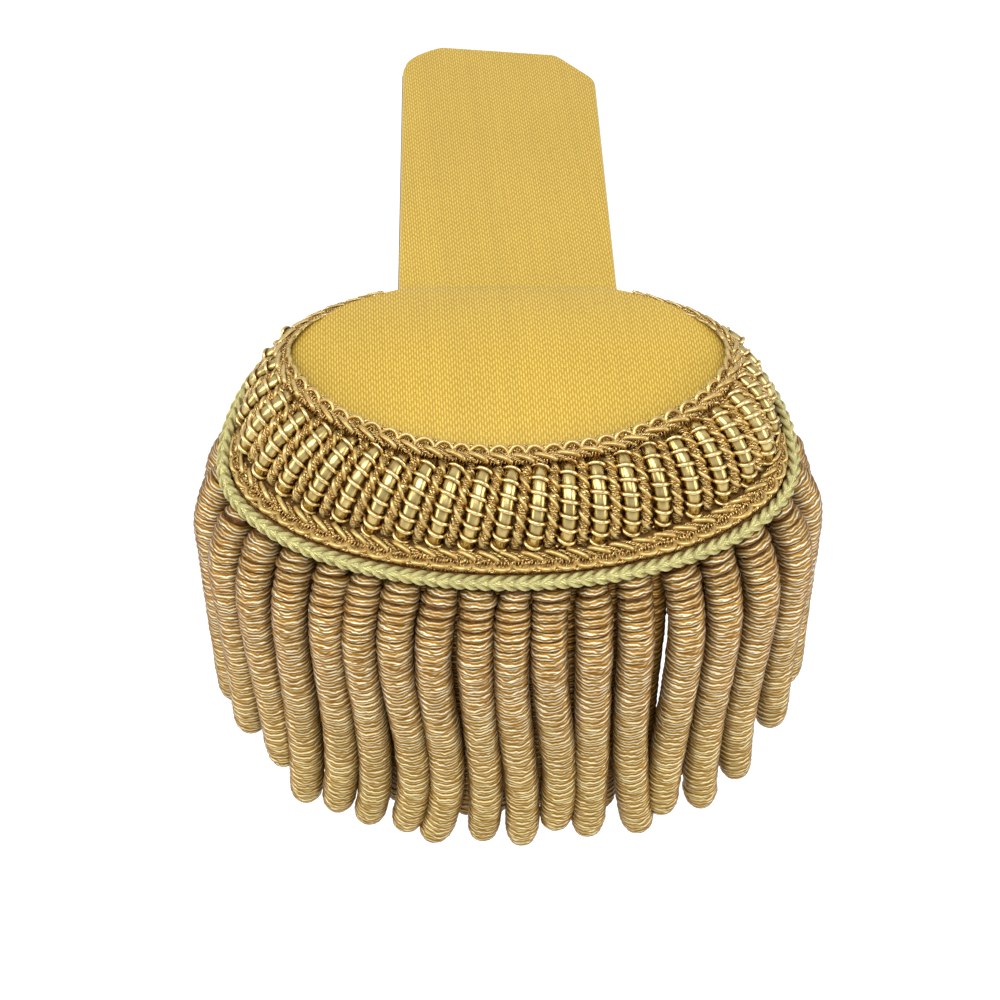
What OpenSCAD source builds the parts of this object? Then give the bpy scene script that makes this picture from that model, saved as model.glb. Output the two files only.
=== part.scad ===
// Bullion shoulder board: a cloth-covered strap that widens into a padded oval field,
// a ribbed roll round the field, braided trims, a plaited edge cord and a bullion fringe.
// Millimetres. X to the right, Y along the strap away from the fringe, Z up.
// The origin is on the underside, where the strap meets the crescent.

/* [Strap] */
// Width of the strap
strap_w = 54; // [50:0.5:58]
// Length of the strap from the crescent, on its middle line
strap_len = 109; // [95:1:120]
// Thickness of the stiff board with its cloth
strap_t = 2.7; // [2.4:0.1:3]
// Lean of the strap to the left, in degrees
strap_lean = 1.4; // [0:0.1:2.5]
// Slant of the far end, in degrees
end_slant = 8.5; // [0:0.5:12]
// Width of each clipped corner of the far end
clip_w = 10.5; // [6:0.5:14]
// Length of each clipped corner of the far end
clip_len = 11.5; // [6:0.5:14]
// Rounding of the strap's corners
corner_r = 7; // [3:0.5:9]
// Thickness of the felt lining
lining_t = 1; // [0.8:0.1:1.2]
// How far the lining shows past the strap's sides
lining_show = 0.3; // [0:0.1:0.6]

/* [Field] */
// Half width of the field
field_half_w = 52.3; // [50:0.1:54]
// Distance from the junction to the field's widest line
field_mid = 22; // [20:0.5:24]
// Length of the field in front of its widest line
field_front = 29.4; // [28:0.1:31]
// Length of the field behind its widest line
field_rear = 26.5; // [25:0.1:28]
// Height of the cloth at the front rim, above the board
rim_rise = 10.1; // [8:0.1:11]
// Height that the padding adds in the middle
crown = 2.6; // [1.5:0.1:4]

/* [Crescent] */
// Downward tilt of the crescent from the strap, in degrees
tilt = 18.5; // [14:0.5:22]
// Half width of the crescent, on the edge cord's middle line
edge_half_w = 67.5; // [66:0.1:70]
// Distance from the junction to the crescent's widest line
edge_mid = 46.5; // [45:0.1:48]
// Length of the crescent in front of its widest line
edge_front = 31.8; // [30:0.1:33]
// Length of the crescent behind its widest line
edge_rear = 58; // [56:0.5:60]
// Thickness of the board under the roll
board_t = 1.5; // [1:0.1:1.6]

/* [Ribs] */
// Number of thick ribs round the roll
rib_count = 27; // [25:2:29]
// Radius of the roll at the front, on the ribs' middle line
roll_r = 12.65; // [11:0.05:13]
// Radius of a thick rib with its wire
rib_r = 1.9; // [1.6:0.05:2]
// Radius of a thin twist between two ribs
twist_r = 1.1; // [0.8:0.05:1.1]

/* [Trims] */
// Width of the upper gimp braid
upper_w = 6; // [5:0.1:6.2]
// Thickness of both gimp braids
gimp_t = 2; // [1.6:0.1:2.2]
// Radius of the plaited edge cord
cord_r = 1.5; // [1.2:0.05:1.6]
// Radius of the fine coil under the edge cord
coil_r = 0.6; // [0.4:0.05:0.7]

/* [Fringe] */
// Radius of a bullion of the outer row
bullion_r = 3.75; // [3.4:0.05:3.9]
// Radius of a bullion of the inner row
inner_r = 3; // [2.6:0.05:3.2]
// Length of the heading that the bullions hang from
heading_h = 5; // [4:0.5:7]
// How far a bullion swells outwards below its heading
swell = 6.4; // [4:0.1:7]

/* [Hidden] */
// The outer row of the fringe, from the left horn round the front to the right horn.
// place: distance along the fringe from the middle of the front
// upper, lower, tip: sideways sway at a third, two thirds and the whole of the length
// foot: height of the tip
bullions = [
    // place, upper, lower, tip, foot
    [-116.5, -0.5, 0.5, 1, -89],
    [-108.2, 0.2, -0.4, -1, -92],
    [-99.7, 0, 0.6, 0.5, -92],
    [-91, 0.5, -0.5, 0.8, -96],
    [-81.6, 0, 0.6, 0, -100],
    [-70.5, -0.6, 1, 0.4, -97],
    [-61.5, -1, 1, 2.6, -101],
    [-52.4, -2.2, 0.2, -1.8, -113],
    [-42.5, -0.3, 0.4, -3, -112],
    [-34.2, -0.8, 0.8, -3, -114],
    [-25.2, -1, 1.7, -2.2, -114],
    [-15.6, -1.8, 0.3, -4.8, -117],
    [-7, -0.5, 1.2, 0.2, -115],
    [1.8, -0.9, 1.3, 1.6, -117],
    [10.5, -0.4, 2.2, 1.2, -111],
    [20.5, -0.2, 0.3, 0.1, -115],
    [30.5, -0.4, 0.4, 4.4, -117],
    [41.8, 0.6, -1, -1.8, -111],
    [51.6, 0.9, -1.2, 0.2, -114],
    [61.4, 0.5, -1.6, 0.6, -108],
    [72.4, 0.4, -1, 0.8, -98],
    [82.2, 0.5, -1.4, -4.6, -89],
    [91, -0.5, 0.4, -0.8, -95],
    [99.7, 0.1, -0.6, 0.6, -93],
    [108.2, 0, 0.5, 0.8, -91],
    [116.5, 0.5, -0.4, -1, -88],
];
place = 0;
upper = 1;
lower = 2;
tip = 3;
foot = 4;

gap = 0.3;
// The board's upper face passes through the junction at this height
board_z = lining_t + gap + board_t;
// Both ends of the horns, as an angle round the field from its front
horn_end = 131;
// The roll with its ribs stops sooner than the braid and the cord
rib_horn = 110;
// How far the crescent's edge runs ahead of the field's rim, by the angle round the field
leads = [
    // angle, lead
    [0, 0], [30, 2.1], [45, 6], [60, 11], [75, 15.3], [90, 17], [110, 16], [120, 14], [140, 11],
];
rim_height = 1.2;
strap_z = lining_t + gap;
strip_count = floor(len(bullions) / 2);
round_fn = 32;

function two_digits(i) = i < 10 ? str("0", i) : str(i);
function rib_name(i) = str("rib_", two_digits(i));
function fringe_name(i) = str("fringe_", two_digits(i));

function unit(v) = v / norm(v);
function mix(a, b, t) = a + (b - a) * t;

// Point on an oval, by its angle from the front, with its own front and rear length
function oval(half_w, mid, front, rear, a) =
    [half_w * sin(a), -mid - (cos(a) > 0 ? front : rear) * cos(a)];

// The field's rim and the crescent's edge, seen square to the board
function rim_at(a) = oval(field_half_w, field_mid, field_front, field_rear, a);
function edge_at(a) =
    oval(edge_half_w, edge_mid, edge_front, edge_rear, a + sign(a) * lookup(abs(a), leads));

// Width of the crescent from rim to edge, and the direction from rim to edge
function width_at(a) = norm(edge_at(a) - rim_at(a));
function out_at(a) = unit(edge_at(a) - rim_at(a));

// Size of the roll's section against its size at the front, by the angle round the field
roll_shares = [
    // angle, share
    [0, 1], [30, 1.04], [45, 1.07], [60, 1.05], [70, 0.99], [78, 0.89], [86, 0.73],
    [94, 0.56], [102, 0.42], [110, 0.31], [120, 0.24], [131, 0.18],
];
function share_at(a) = lookup(abs(a), roll_shares);

// Behind the widest line the edge is drawn down, under the roll
function tuck_at(a) = lookup(abs(a), [[84, 0], [104, 1]]);
function edge_out(a) = width_at(a) - 0.5 * tuck_at(a);
function edge_z(a) = 0.2 - 1.4 * tuck_at(a);
// Room that the cord takes along the section, where the section meets it at a slant
function cord_room(a) =
    (cord_r + 1.6 * gap) / abs(cross(unit(edge_at(a + 1) - edge_at(a - 1)), out_at(a)));

// Point on the board, at a distance out from the rim and a height above the board
function board_pt(a, out, height) =
    concat(rim_at(a) + out_at(a) * out, [height]);

// The same point in the part's own frame
function to_part(p) = [
    p.x,
    p.y * cos(tilt) - p.z * sin(tilt),
    p.y * sin(tilt) + p.z * cos(tilt) + board_z
];

// The roll's section: middle, radius on the ribs' middle line, and height of its middle
function roll_mid(a) = 5.3 * share_at(a);
function roll_radius(a) = roll_r * share_at(a);
function roll_height(a) = -0.8 * share_at(a);

// Outer edge of the upper braid, and the place under it where the ribs begin
function upper_edge(a) = max(3.2, upper_w * share_at(a)) - 0.6;
function rib_start(a) = asin(min(1, (roll_mid(a) - upper_edge(a) * 0.5) / roll_radius(a)));
// Where the ribs stop above the edge, as an angle up from the board
function rib_stop(a) = mix(7, 34, tuck_at(a));

// Spacing of the ribs at their inner ends, and the thickness that it leaves room for
function crown_at(a) = rim_at(a) + out_at(a) * (roll_mid(a) + 0.5 * roll_radius(a));
function start_at(a) = rim_at(a) + out_at(a) * upper_edge(a) * 0.5;
function rib_spacing(a) =
    rib_pitch * norm(start_at(a + 1) - start_at(a - 1)) / norm(crown_at(a + 1) - crown_at(a - 1));
function rib_radius(a) = min(rib_r, 0.4 * roll_radius(a), (rib_spacing(a) - 0.55) / 3.2);
function foot_at(a) = roll_mid(a) + roll_radius(a) * cos(rib_stop(a)) + rib_radius(a);

// Height of the field's cloth over the board: a rising plane that flattens to the front
strap_slope = tan(tilt);
function plane_height(y) =
    y > 1 ? 1.15 - strap_slope * y
    : rim_height + rim_rise * (1 - pow(1 - min(1, (1 - y) / (field_mid + field_front)), 1.8));
function cloth_height(a, r) =
    let (y = mix(-field_mid, rim_at(a).y, r))
    plane_height(y) + crown * (1 - r * r);

// A closed polyhedron from rings of points, all with the same number of points
module rings_solid(rings) {
    n = len(rings[0]);
    last = len(rings) - 1;
    points = [for (r = rings) each r];
    sides = [
        for (i = [0:last - 1], j = [0:n - 1])
        let (k = (j + 1) % n)
        each [
            [i * n + j, i * n + k, (i + 1) * n + k],
            [i * n + j, (i + 1) * n + k, (i + 1) * n + j]
        ]
    ];
    caps = [
        [for (j = [n - 1:-1:0]) j],
        [for (j = [0:n - 1]) last * n + j]
    ];
    polyhedron(points, concat(sides, caps), convexity = 6);
}

// Rings of a tube round a path, square to it, with one axis held square to a given direction
function tube_rings(path, radii, sides, hold) = [
    for (i = [0:len(path) - 1])
    let (
        ahead = path[min(i + 1, len(path) - 1)],
        behind = path[max(i - 1, 0)],
        along = unit(ahead - behind),
        side = unit(cross(hold[i], along)),
        up = cross(along, side)
    )
    [
        for (j = [0:sides - 1])
        path[i] + radii[i] * (cos(j * 360 / sides) * side - sin(j * 360 / sides) * up)
    ]
];

// Angles round the crescent, evenly spaced
function stations(limit, count) = [for (i = [0:count]) -limit + 2 * limit * i / count];

module on_board() {
    translate([0, 0, board_z])
    rotate([tilt, 0, 0])
    children();
}

// Outline of the strap, its far end slanted, with clipped and rounded corners
function end_y(x) = strap_len - x * tan(end_slant);
function bend(before, corner, after, r) =
    let (
        from = corner + unit(before - corner) * r,
        to = corner + unit(after - corner) * r
    )
    [for (t = [0:0.25:1]) (1 - t) * (1 - t) * from + 2 * t * (1 - t) * corner + t * t * to];
function strap_outline(w, near) =
    let (
        h = w / 2,
        right_side = [h, end_y(h) - clip_len],
        right_top = [h - clip_w, end_y(h - clip_w)],
        left_top = [clip_w - h, end_y(clip_w - h)],
        left_side = [-h, end_y(-h) - clip_len]
    )
    concat(
        [[-h, near], [h, near]],
        bend([h, near], right_side, right_top, corner_r),
        bend(right_side, right_top, left_top, corner_r / 2),
        bend(right_top, left_top, left_side, corner_r / 2),
        bend(left_top, left_side, [-h, near], corner_r)
    );

module leaning() {
    rotate([0, 0, strap_lean])
    children();
}

// Padded field: cloth surface in rings from the middle to the rim, then the wall and base
module field_pad() {
    spokes = 56;
    spans = 6;
    base = [for (j = [0:spokes - 1]) concat(rim_at(j * 360 / spokes), [-board_t])];
    cloth = [
        for (i = [spans:-1:1])
        [
            for (j = [0:spokes - 1])
            let (
                a = j * 360 / spokes - (j * 360 / spokes > 180 ? 360 : 0),
                r = i / spans,
                p = mix([0, -field_mid], rim_at(a), r)
            )
            [p.x, p.y, cloth_height(a, r)]
        ]
    ];
    n = spokes;
    rings = concat([base], cloth);
    last = len(rings) - 1;
    points = concat(
        [for (r = rings) each r],
        [[0, -field_mid, cloth_height(0, 0)], [0, -field_mid, -board_t]]
    );
    top = len(points) - 2;
    bottom = len(points) - 1;
    faces = concat(
        [
            for (i = [0:last - 1], j = [0:n - 1])
            let (k = (j + 1) % n)
            each [
                [i * n + j, (i + 1) * n + k, i * n + k],
                [i * n + j, (i + 1) * n + j, (i + 1) * n + k]
            ]
        ],
        [for (j = [0:n - 1]) [last * n + j, top, last * n + (j + 1) % n]],
        [for (j = [0:n - 1]) [j, (j + 1) % n, bottom]]
    );
    polyhedron(points, faces, convexity = 4);
}

// Strap and field, covered in one piece of cloth
module strap() {
    color("goldenrod")
    union() {
        translate([0, 0, strap_z])
        leaning()
        linear_extrude(strap_t)
        polygon(strap_outline(strap_w, -3));
        on_board()
        field_pad();
    }
}

// Felt lining: flat under the strap, tilted under the crescent
module lining() {
    color("#3a2c1c")
    union() {
        leaning()
        linear_extrude(lining_t)
        polygon(strap_outline(strap_w + 2 * lining_show, 0.5));
        on_board()
        translate([0, 0, -board_t - gap - lining_t])
        linear_extrude(lining_t)
        polygon(concat(
            [
                for (a = stations(horn_end - 3, 60))
                let (p = rim_at(a) + out_at(a) * (edge_out(a) - cord_room(a)))
                [p.x, min(p.y, 0)]
            ],
            [[strap_w / 2, 0], [-strap_w / 2, 0]]
        ));
    }
}

// Dark padded base of the roll, with a flat margin for the lower braid
module roll_pad() {
    horn = rib_horn;
    arc_steps = 6;
    color("#2a1c10")
    on_board()
    rings_solid([
        for (a = stations(horn, 46))
        let (
            r = roll_radius(a) - rib_radius(a) - 1.8 * gap,
            start = -asin(min(1, (roll_mid(a) - gap) / r)),
            margin = edge_out(a) - cord_room(a),
            foot = min(roll_mid(a) + r * sin(84), margin - 0.4)
        )
        concat(
            [board_pt(a, margin, -board_t), board_pt(a, margin, 0), board_pt(a, foot + 0.2, 0)],
            [
                for (i = [arc_steps:-1:0])
                let (s = mix(start, 84, i / arc_steps))
                board_pt(
                    a,
                    min(roll_mid(a) + r * sin(s), foot),
                    max(roll_height(a) + r * cos(s), 0.1 * (1 + i / arc_steps))
                )
            ],
            [board_pt(a, gap, -board_t)]
        )
    ]);
}

// Distance along the roll's crown against the angle round the field
crown_angles = stations(rib_horn, 100);
crown_pts = [for (a = crown_angles) crown_at(a)];
function crown_run(i) = i == 0 ? 0 : crown_run(i - 1) + norm(crown_pts[i] - crown_pts[i - 1]);
crown_table = [for (i = [0:100]) [crown_run(i), crown_angles[i]]];
rib_end = 1.5;
rib_pitch = (crown_run(100) - 2 * rib_end) / (rib_count - 1);
function rib_angle(i) = lookup(rib_end + (i - 1) * rib_pitch, crown_table);

// A piece of a ring, from the field over the roll's crown down to the board
module over_roll(a, r) {
    u = out_at(a);
    first = rib_stop(a);
    translate(board_pt(a, roll_mid(a), roll_height(a)))
    rotate([0, 0, atan2(u.y, u.x)])
    rotate([90, 0, 0])
    rotate([0, 0, first])
    rotate_extrude(angle = 90 + rib_start(a) - first, $fn = round_fn)
    translate([roll_radius(a), 0])
    circle(r = r, $fn = round_fn);
}

module rib(i) {
    a = rib_angle(i);
    color("#9c8238")
    on_board()
    over_roll(a, rib_radius(a));
}

module thin_twists() {
    color("#b98a3c")
    on_board()
    for (i = [1:rib_count - 1]) {
        a = (rib_angle(i) + rib_angle(i + 1)) / 2;
        over_roll(a, twist_r * rib_radius(a) / rib_r);
    }
}

// A flat band with pointed edges, lying round the crescent
module band(angles, inner, outer, inner_z, outer_z, thick) {
    rings_solid([
        for (i = [0:len(angles) - 1])
        let (
            a = angles[i],
            t = thick[i] / 2,
            quarter = mix(inner[i], outer[i], 0.25),
            quarter_z = mix(inner_z[i], outer_z[i], 0.25),
            far = mix(inner[i], outer[i], 0.75),
            far_z = mix(inner_z[i], outer_z[i], 0.75)
        )
        [
            board_pt(a, inner[i], inner_z[i]),
            board_pt(a, quarter, quarter_z - t),
            board_pt(a, far, far_z - t),
            board_pt(a, outer[i], outer_z[i]),
            board_pt(a, far, far_z + t),
            board_pt(a, quarter, quarter_z + t)
        ]
    ]);
}

// Gimp braid on the crown, over the cloth's edge and the ribs' inner ends
module upper_gimp() {
    angles = stations(horn_end, 46);
    thick = [for (a = angles) gimp_t * max(0.5, min(1, share_at(a) * 1.2))];
    top = [
        for (a = angles)
        max(roll_height(a) + roll_radius(a) + rib_radius(a), cloth_height(a, 1) + 0.2)
    ];
    color("#c08c3e")
    on_board()
    band(
        angles,
        [for (a = angles) -0.6],
        [for (a = angles) upper_edge(a)],
        [for (i = [0:len(angles) - 1]) top[i] + thick[i] * 0.35],
        [for (i = [0:len(angles) - 1]) top[i] + thick[i] * 0.75],
        thick
    );
}

// Gimp braid on the board's margin, between the ribs' feet and the cord
module lower_gimp() {
    angles = stations(77, 34);
    flat = [for (a = angles) gap + gimp_t / 2];
    color("#c08c3e")
    on_board()
    band(
        angles,
        [for (a = angles) foot_at(a) + 1.8 * gap],
        [for (a = angles) edge_out(a) - cord_room(a)],
        flat, flat,
        [for (a = angles) gimp_t]
    );
}

// Plaited cord sewn along the crescent's edge
module edge_cord() {
    angles = stations(horn_end, 52);
    color("#d8cc7c")
    on_board()
    rings_solid(tube_rings(
        [for (a = angles) board_pt(a, edge_out(a), edge_z(a))],
        [for (a = angles) cord_r],
        8,
        [for (a = angles) [0, 0, 1]]
    ));
}

// Fine coil along the underside of the cord
module edge_coil() {
    angles = stations(horn_end - 4, 50);
    color("#7c4a1c")
    on_board()
    rings_solid(tube_rings(
        [for (a = angles) board_pt(a, edge_out(a) - 0.6, edge_z(a) - cord_r - coil_r - 0.15)],
        [for (a = angles) coil_r],
        6,
        [for (a = angles) [0, 0, 1]]
    ));
}

// The fringe's line under the board, by distance from the middle of the front
hang_angles = stations(horn_end, 100);
hang_pts = [for (a = hang_angles) let (p = to_part(board_pt(a, edge_out(a) + 3, 0))) [p.x, p.y]];
function hang_run(i) = i == 0 ? 0 : hang_run(i - 1) + norm(hang_pts[i] - hang_pts[i - 1]);
hang_half = hang_run(50);
hang_table = [for (i = [0:100]) [hang_run(i) - hang_half, hang_angles[i]]];
function hang_angle(s) = lookup(s, hang_table);

// Top of a bullion, under the board: distance in from the edge's middle line
outer_in = 1.4;
inner_in = 8.6;
// The inner row stops where the crescent gets too narrow for it
inner_end = 90;
head_drop = board_t + lining_t + 3.5 * gap;
function cord_at(a) = rim_at(a) + out_at(a) * edge_out(a);
function fringe_out(s) =
    let (t = cord_at(hang_angle(s + 1)) - cord_at(hang_angle(s - 1)))
    unit([t.y, -t.x]);
function head_pt(s, inset) =
    let (a = hang_angle(s), p = cord_at(a) - fringe_out(s) * inset)
    to_part([p.x, p.y, edge_z(a) - 0.2 - head_drop]);
// The hidden rear of the fringe hangs closer in
function swell_at(s) = swell * lookup(abs(s), [[86, 1], [100, 0.5]]);

// Sway of a bullion at a share of its length: a curve through its three named sways
function sway_at(row, t) =
    13.5 * t * (t - 2 / 3) * (t - 1) * row[upper]
    - 13.5 * t * (t - 1 / 3) * (t - 1) * row[lower]
    + 4.5 * t * (t - 1 / 3) * (t - 2 / 3) * row[tip];

// Shares of the length at which a bullion's rings lie, and the radius there
outer_shares = [0, 0.03, 0.16, 0.32, 0.48, 0.64, 0.8, 0.92, 0.975, 1];
outer_radii = [0.6, 1, 1, 1, 1, 1, 0.98, 0.92, 0.72, 0.3];
inner_shares = [0, 0.04, 0.3, 0.6, 0.88, 0.96, 1];
inner_radii = [0.6, 1, 1, 1, 0.95, 0.75, 0.3];

// One bullion: down from its head, swelling outwards under the cord, with its own sway
module bullion(row, inset, r, shares, radii, outward, sides) {
    head = head_pt(row[place], inset) - [0, 0, r * 0.6 * sin(tilt)];
    out = concat(fringe_out(row[place]), [0]);
    aside = [-out.y, out.x, 0];
    path = [
        for (t = shares)
        head
        + out * outward * (1 - pow(1 - min(1, t * 4), 2))
        + aside * sway_at(row, t)
        - [0, 0, (head.z - row[foot]) * t]
    ];
    rings_solid(tube_rings(path, radii * r, sides, [for (t = shares) out]));
}

// A stretch of the heading that carries the bullions of one strip
module heading(from_s, to_s) {
    steps = 3;
    rings_solid([
        for (i = [0:steps])
        let (
            s = mix(from_s, to_s, i / steps),
            far = head_pt(s, outer_in + 1.8),
            near = head_pt(s, max(outer_in + 3.4, min(inner_in - 1.2, edge_out(hang_angle(s)) * 0.6))),
            down = [0, 0, -heading_h]
        )
        [far + down, far, near, near + down]
    ]);
}

// A strip of the fringe: two outer bullions, the inner one behind them, and their heading
module fringe(i) {
    first = bullions[2 * i - 2];
    second = bullions[2 * i - 1];
    middle = (first[place] + second[place]) / 2;
    inner = [middle, first[lower] * 0.4, second[upper] * 0.4, 0.5, first[foot] + 6];
    color("#dcb878")
    union() {
        heading(first[place] - 2.4, second[place] + 2.4);
        for (row = [first, second])
            bullion(row, outer_in, bullion_r, outer_shares, outer_radii, swell_at(row[place]), 8);
        if (abs(middle) < inner_end)
            bullion(inner, inner_in, inner_r, inner_shares, inner_radii, 2, 6);
    }
}

strap();
lining();
roll_pad();
thin_twists();
upper_gimp();
lower_gimp();
edge_cord();
edge_coil();
for (i = [1:rib_count])
    rib(i);
for (i = [1:strip_count])
    fringe(i);
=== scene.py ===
import math

import bpy
import numpy as np
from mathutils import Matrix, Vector


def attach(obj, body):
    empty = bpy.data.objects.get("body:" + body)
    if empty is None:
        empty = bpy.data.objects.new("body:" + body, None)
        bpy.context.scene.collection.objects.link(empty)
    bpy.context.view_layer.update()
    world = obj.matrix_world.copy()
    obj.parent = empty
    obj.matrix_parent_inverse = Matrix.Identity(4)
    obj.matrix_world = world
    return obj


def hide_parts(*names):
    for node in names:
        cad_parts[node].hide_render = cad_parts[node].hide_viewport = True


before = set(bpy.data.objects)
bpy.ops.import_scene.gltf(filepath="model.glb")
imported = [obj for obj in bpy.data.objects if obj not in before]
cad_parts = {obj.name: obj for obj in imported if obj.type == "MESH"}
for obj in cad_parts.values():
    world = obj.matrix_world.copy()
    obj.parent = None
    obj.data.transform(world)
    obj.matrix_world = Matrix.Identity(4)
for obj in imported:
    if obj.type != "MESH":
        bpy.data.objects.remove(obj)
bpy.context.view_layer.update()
print("frame loaded:", len(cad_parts), "nodes")

# All sizes are in millimetres until a piece is made, and its points are then divided by 1000.


# The board's own curves

boardForm = {
    "tilt": 18.5,  # degrees that the crescent droops from the strap
    "pivotHeight": 2.8,  # height of the board's upper face at the junction
    "rim": (52.3, 22.0, 29.4, 26.5),  # field: half width, middle, length in front, length behind
    "edge": (67.5, 46.5, 31.8, 58.0),  # crescent's edge cord: the same four
    "leadAngles": [0, 30, 45, 60, 75, 90, 110, 120, 140],
    "leads": [0, 2.1, 6, 11, 15.3, 17, 16, 14, 11],
    "shareAngles": [0, 30, 45, 60, 70, 78, 86, 94, 102, 110, 120, 131],
    "shares": [1, 1.04, 1.07, 1.05, 0.99, 0.89, 0.73, 0.56, 0.42, 0.31, 0.24, 0.18],
    "hornEnd": 131.0,  # angle where the cord stops
    "ribHorn": 110.0,  # angle where the ribbed roll stops
    "cordRoom": 1.98,  # square to the cord, from its middle to the margin
    "tuckFrom": 84, "tuckOver": 20,  # angles over which the edge tucks in and down towards a horn
    "tuckIn": 0.5, "tuckDown": 1.4,
    "cordHeight": 0.2,
}


# a table read between its angles, then evened out over five degrees each way
def evenTable(angles, values):
    fine = np.arange(-170, 170.5, 0.5)
    raw = np.interp(np.abs(fine), angles, values)
    window = np.hanning(21)
    return fine, np.convolve(np.pad(raw, 10, mode="edge"), window / window.sum(), mode="valid")


leadFine, leadValues = evenTable(boardForm["leadAngles"], boardForm["leads"])
shareFine, shareValues = evenTable(boardForm["shareAngles"], boardForm["shares"])


# point on an oval: half width times the sine, and the middle less the length times the cosine
def ovalAt(sizes, angle):
    halfWidth, middle, front, rear = sizes
    a = np.radians(angle)
    length = np.where(np.cos(a) > 0, front, rear)
    return np.stack([halfWidth * np.sin(a), -middle - length * np.cos(a)], -1)


# the field's rim: the oval of its four named sizes
def rimAt(angle):
    return ovalAt(boardForm["rim"], angle)


# the crescent's edge: its oval, read at an angle further on by the table of leads
def edgeAt(angle):
    return ovalAt(boardForm["edge"], angle + np.sign(angle) * np.interp(angle, leadFine, leadValues))


# distance from the rim to the edge
def widthAt(angle):
    return np.linalg.norm(edgeAt(angle) - rimAt(angle), axis=-1)


# flat direction from the rim to the edge, divided by its length
def outAt(angle):
    step = edgeAt(angle) - rimAt(angle)
    return step / np.linalg.norm(step, axis=-1, keepdims=True)


# share of its full size that the roll has at an angle, from the evened table
def shareAt(angle):
    return np.interp(angle, shareFine, shareValues)


# how far an angle is past the first tucked one, over the tuck's span, held to 0 and 1
def tuckAt(angle):
    return np.clip((np.abs(angle) - boardForm["tuckFrom"]) / boardForm["tuckOver"], 0, 1)


# distance from the rim to the cord: the width less the tuck inwards
def edgeOut(angle):
    return widthAt(angle) - boardForm["tuckIn"] * tuckAt(angle)


# the cord's height over the board, less the tuck downwards
def edgeLow(angle):
    return boardForm["cordHeight"] - boardForm["tuckDown"] * tuckAt(angle)


# flat point by angle and distance out from the rim
def flatPoint(angle, out):
    return rimAt(angle) + outAt(angle) * out[..., None]


# point by angle, distance out from the rim and height, in the tilted board's frame
def boardPoint(angle, out, height):
    angle, out, height = np.broadcast_arrays(
        np.asarray(angle, float), np.asarray(out, float), np.asarray(height, float)
    )
    return np.concatenate([flatPoint(angle, out), height[..., None]], -1)


# turns a direction of the tilted board about X by the tilt
def turnToPart(v):
    tilt = math.radians(boardForm["tilt"])
    c, s = math.cos(tilt), math.sin(tilt)
    return np.stack([v[..., 0], v[..., 1] * c - v[..., 2] * s, v[..., 1] * s + v[..., 2] * c], -1)


# a point of the tilted board in the part's frame: turned, then raised to the pivot
def toPart(p):
    return turnToPart(p) + np.array([0, 0, boardForm["pivotHeight"]])


# a direction divided by its length
def unit(v):
    return v / np.linalg.norm(v, axis=-1, keepdims=True)


# even numbers from less the half to the half
def spread(half, count):
    return np.linspace(-half, half, count)


# rises from 0 to 1 by three times the square less twice the cube
def smoothStep(x):
    x = np.clip(x, 0, 1)
    return x * x * (3 - 2 * x)


# a flat direction given a height of nought
def withHeight(v):
    return np.concatenate([v, np.zeros(v.shape[:-1] + (1,))], -1)


# values given at distances along a line, read at other distances
def readAlong(place, run, values):
    return np.stack([np.interp(place, run, values[:, k]) for k in range(3)], -1)


# distance run along a line of points
def runAlong(points):
    steps = np.linalg.norm(np.diff(points, axis=0), axis=1)
    return np.concatenate([[0], np.cumsum(steps)])


# room for the cord beside the margin, measured along the outward direction
def cordRoom(angle):
    t = unit(edgeAt(angle + 1) - edgeAt(angle - 1))
    out = outAt(angle)
    return boardForm["cordRoom"] / np.abs(t[:, 0] * out[:, 1] - t[:, 1] * out[:, 0])


# Making meshes

# A surface is a grid of points, rows by columns, closed round its columns, with flat ends.
# Its map runs along the rows in the given units and once round the columns. The faces are turned
# where the volume, a sum of p0 by p1 cross p2 over their triangles, would be negative.
def closedSurface(grid, along=None):
    rows, cols, _ = grid.shape
    if along is None:
        along = np.arange(rows, dtype=float)
    i = np.arange(rows - 1)[:, None, None] + np.array([0, 0, 1, 1])
    j = np.arange(cols)[None, :, None] + np.array([0, 1, 1, 0])
    quads = (i * cols + j % cols).reshape(-1, 4)
    quadMap = np.stack(np.broadcast_arrays(along[i], j / cols), -1).reshape(-1, 4, 2)
    ring = np.arange(cols)
    caps = np.stack([ring[::-1], (rows - 1) * cols + ring])
    capMap = np.zeros((2, cols, 2))
    capMap[:, :, 0] = along[[0, -1]][:, None]
    points = grid.reshape(-1, 3)
    p = points[quads]
    volume = np.sum(p[:, 0] * (np.cross(p[:, 1], p[:, 2]) + np.cross(p[:, 2], p[:, 3])))
    for fan in points[caps]:
        volume += np.sum(fan[0] * np.cross(fan[1:-1], fan[2:]))
    if volume < 0:
        quads, quadMap = quads[:, ::-1], quadMap[:, ::-1]
        caps, capMap = caps[:, ::-1], capMap[:, ::-1]
    return {"points": points, "faces": [quads, caps], "maps": [quadMap, capMap]}


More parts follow.
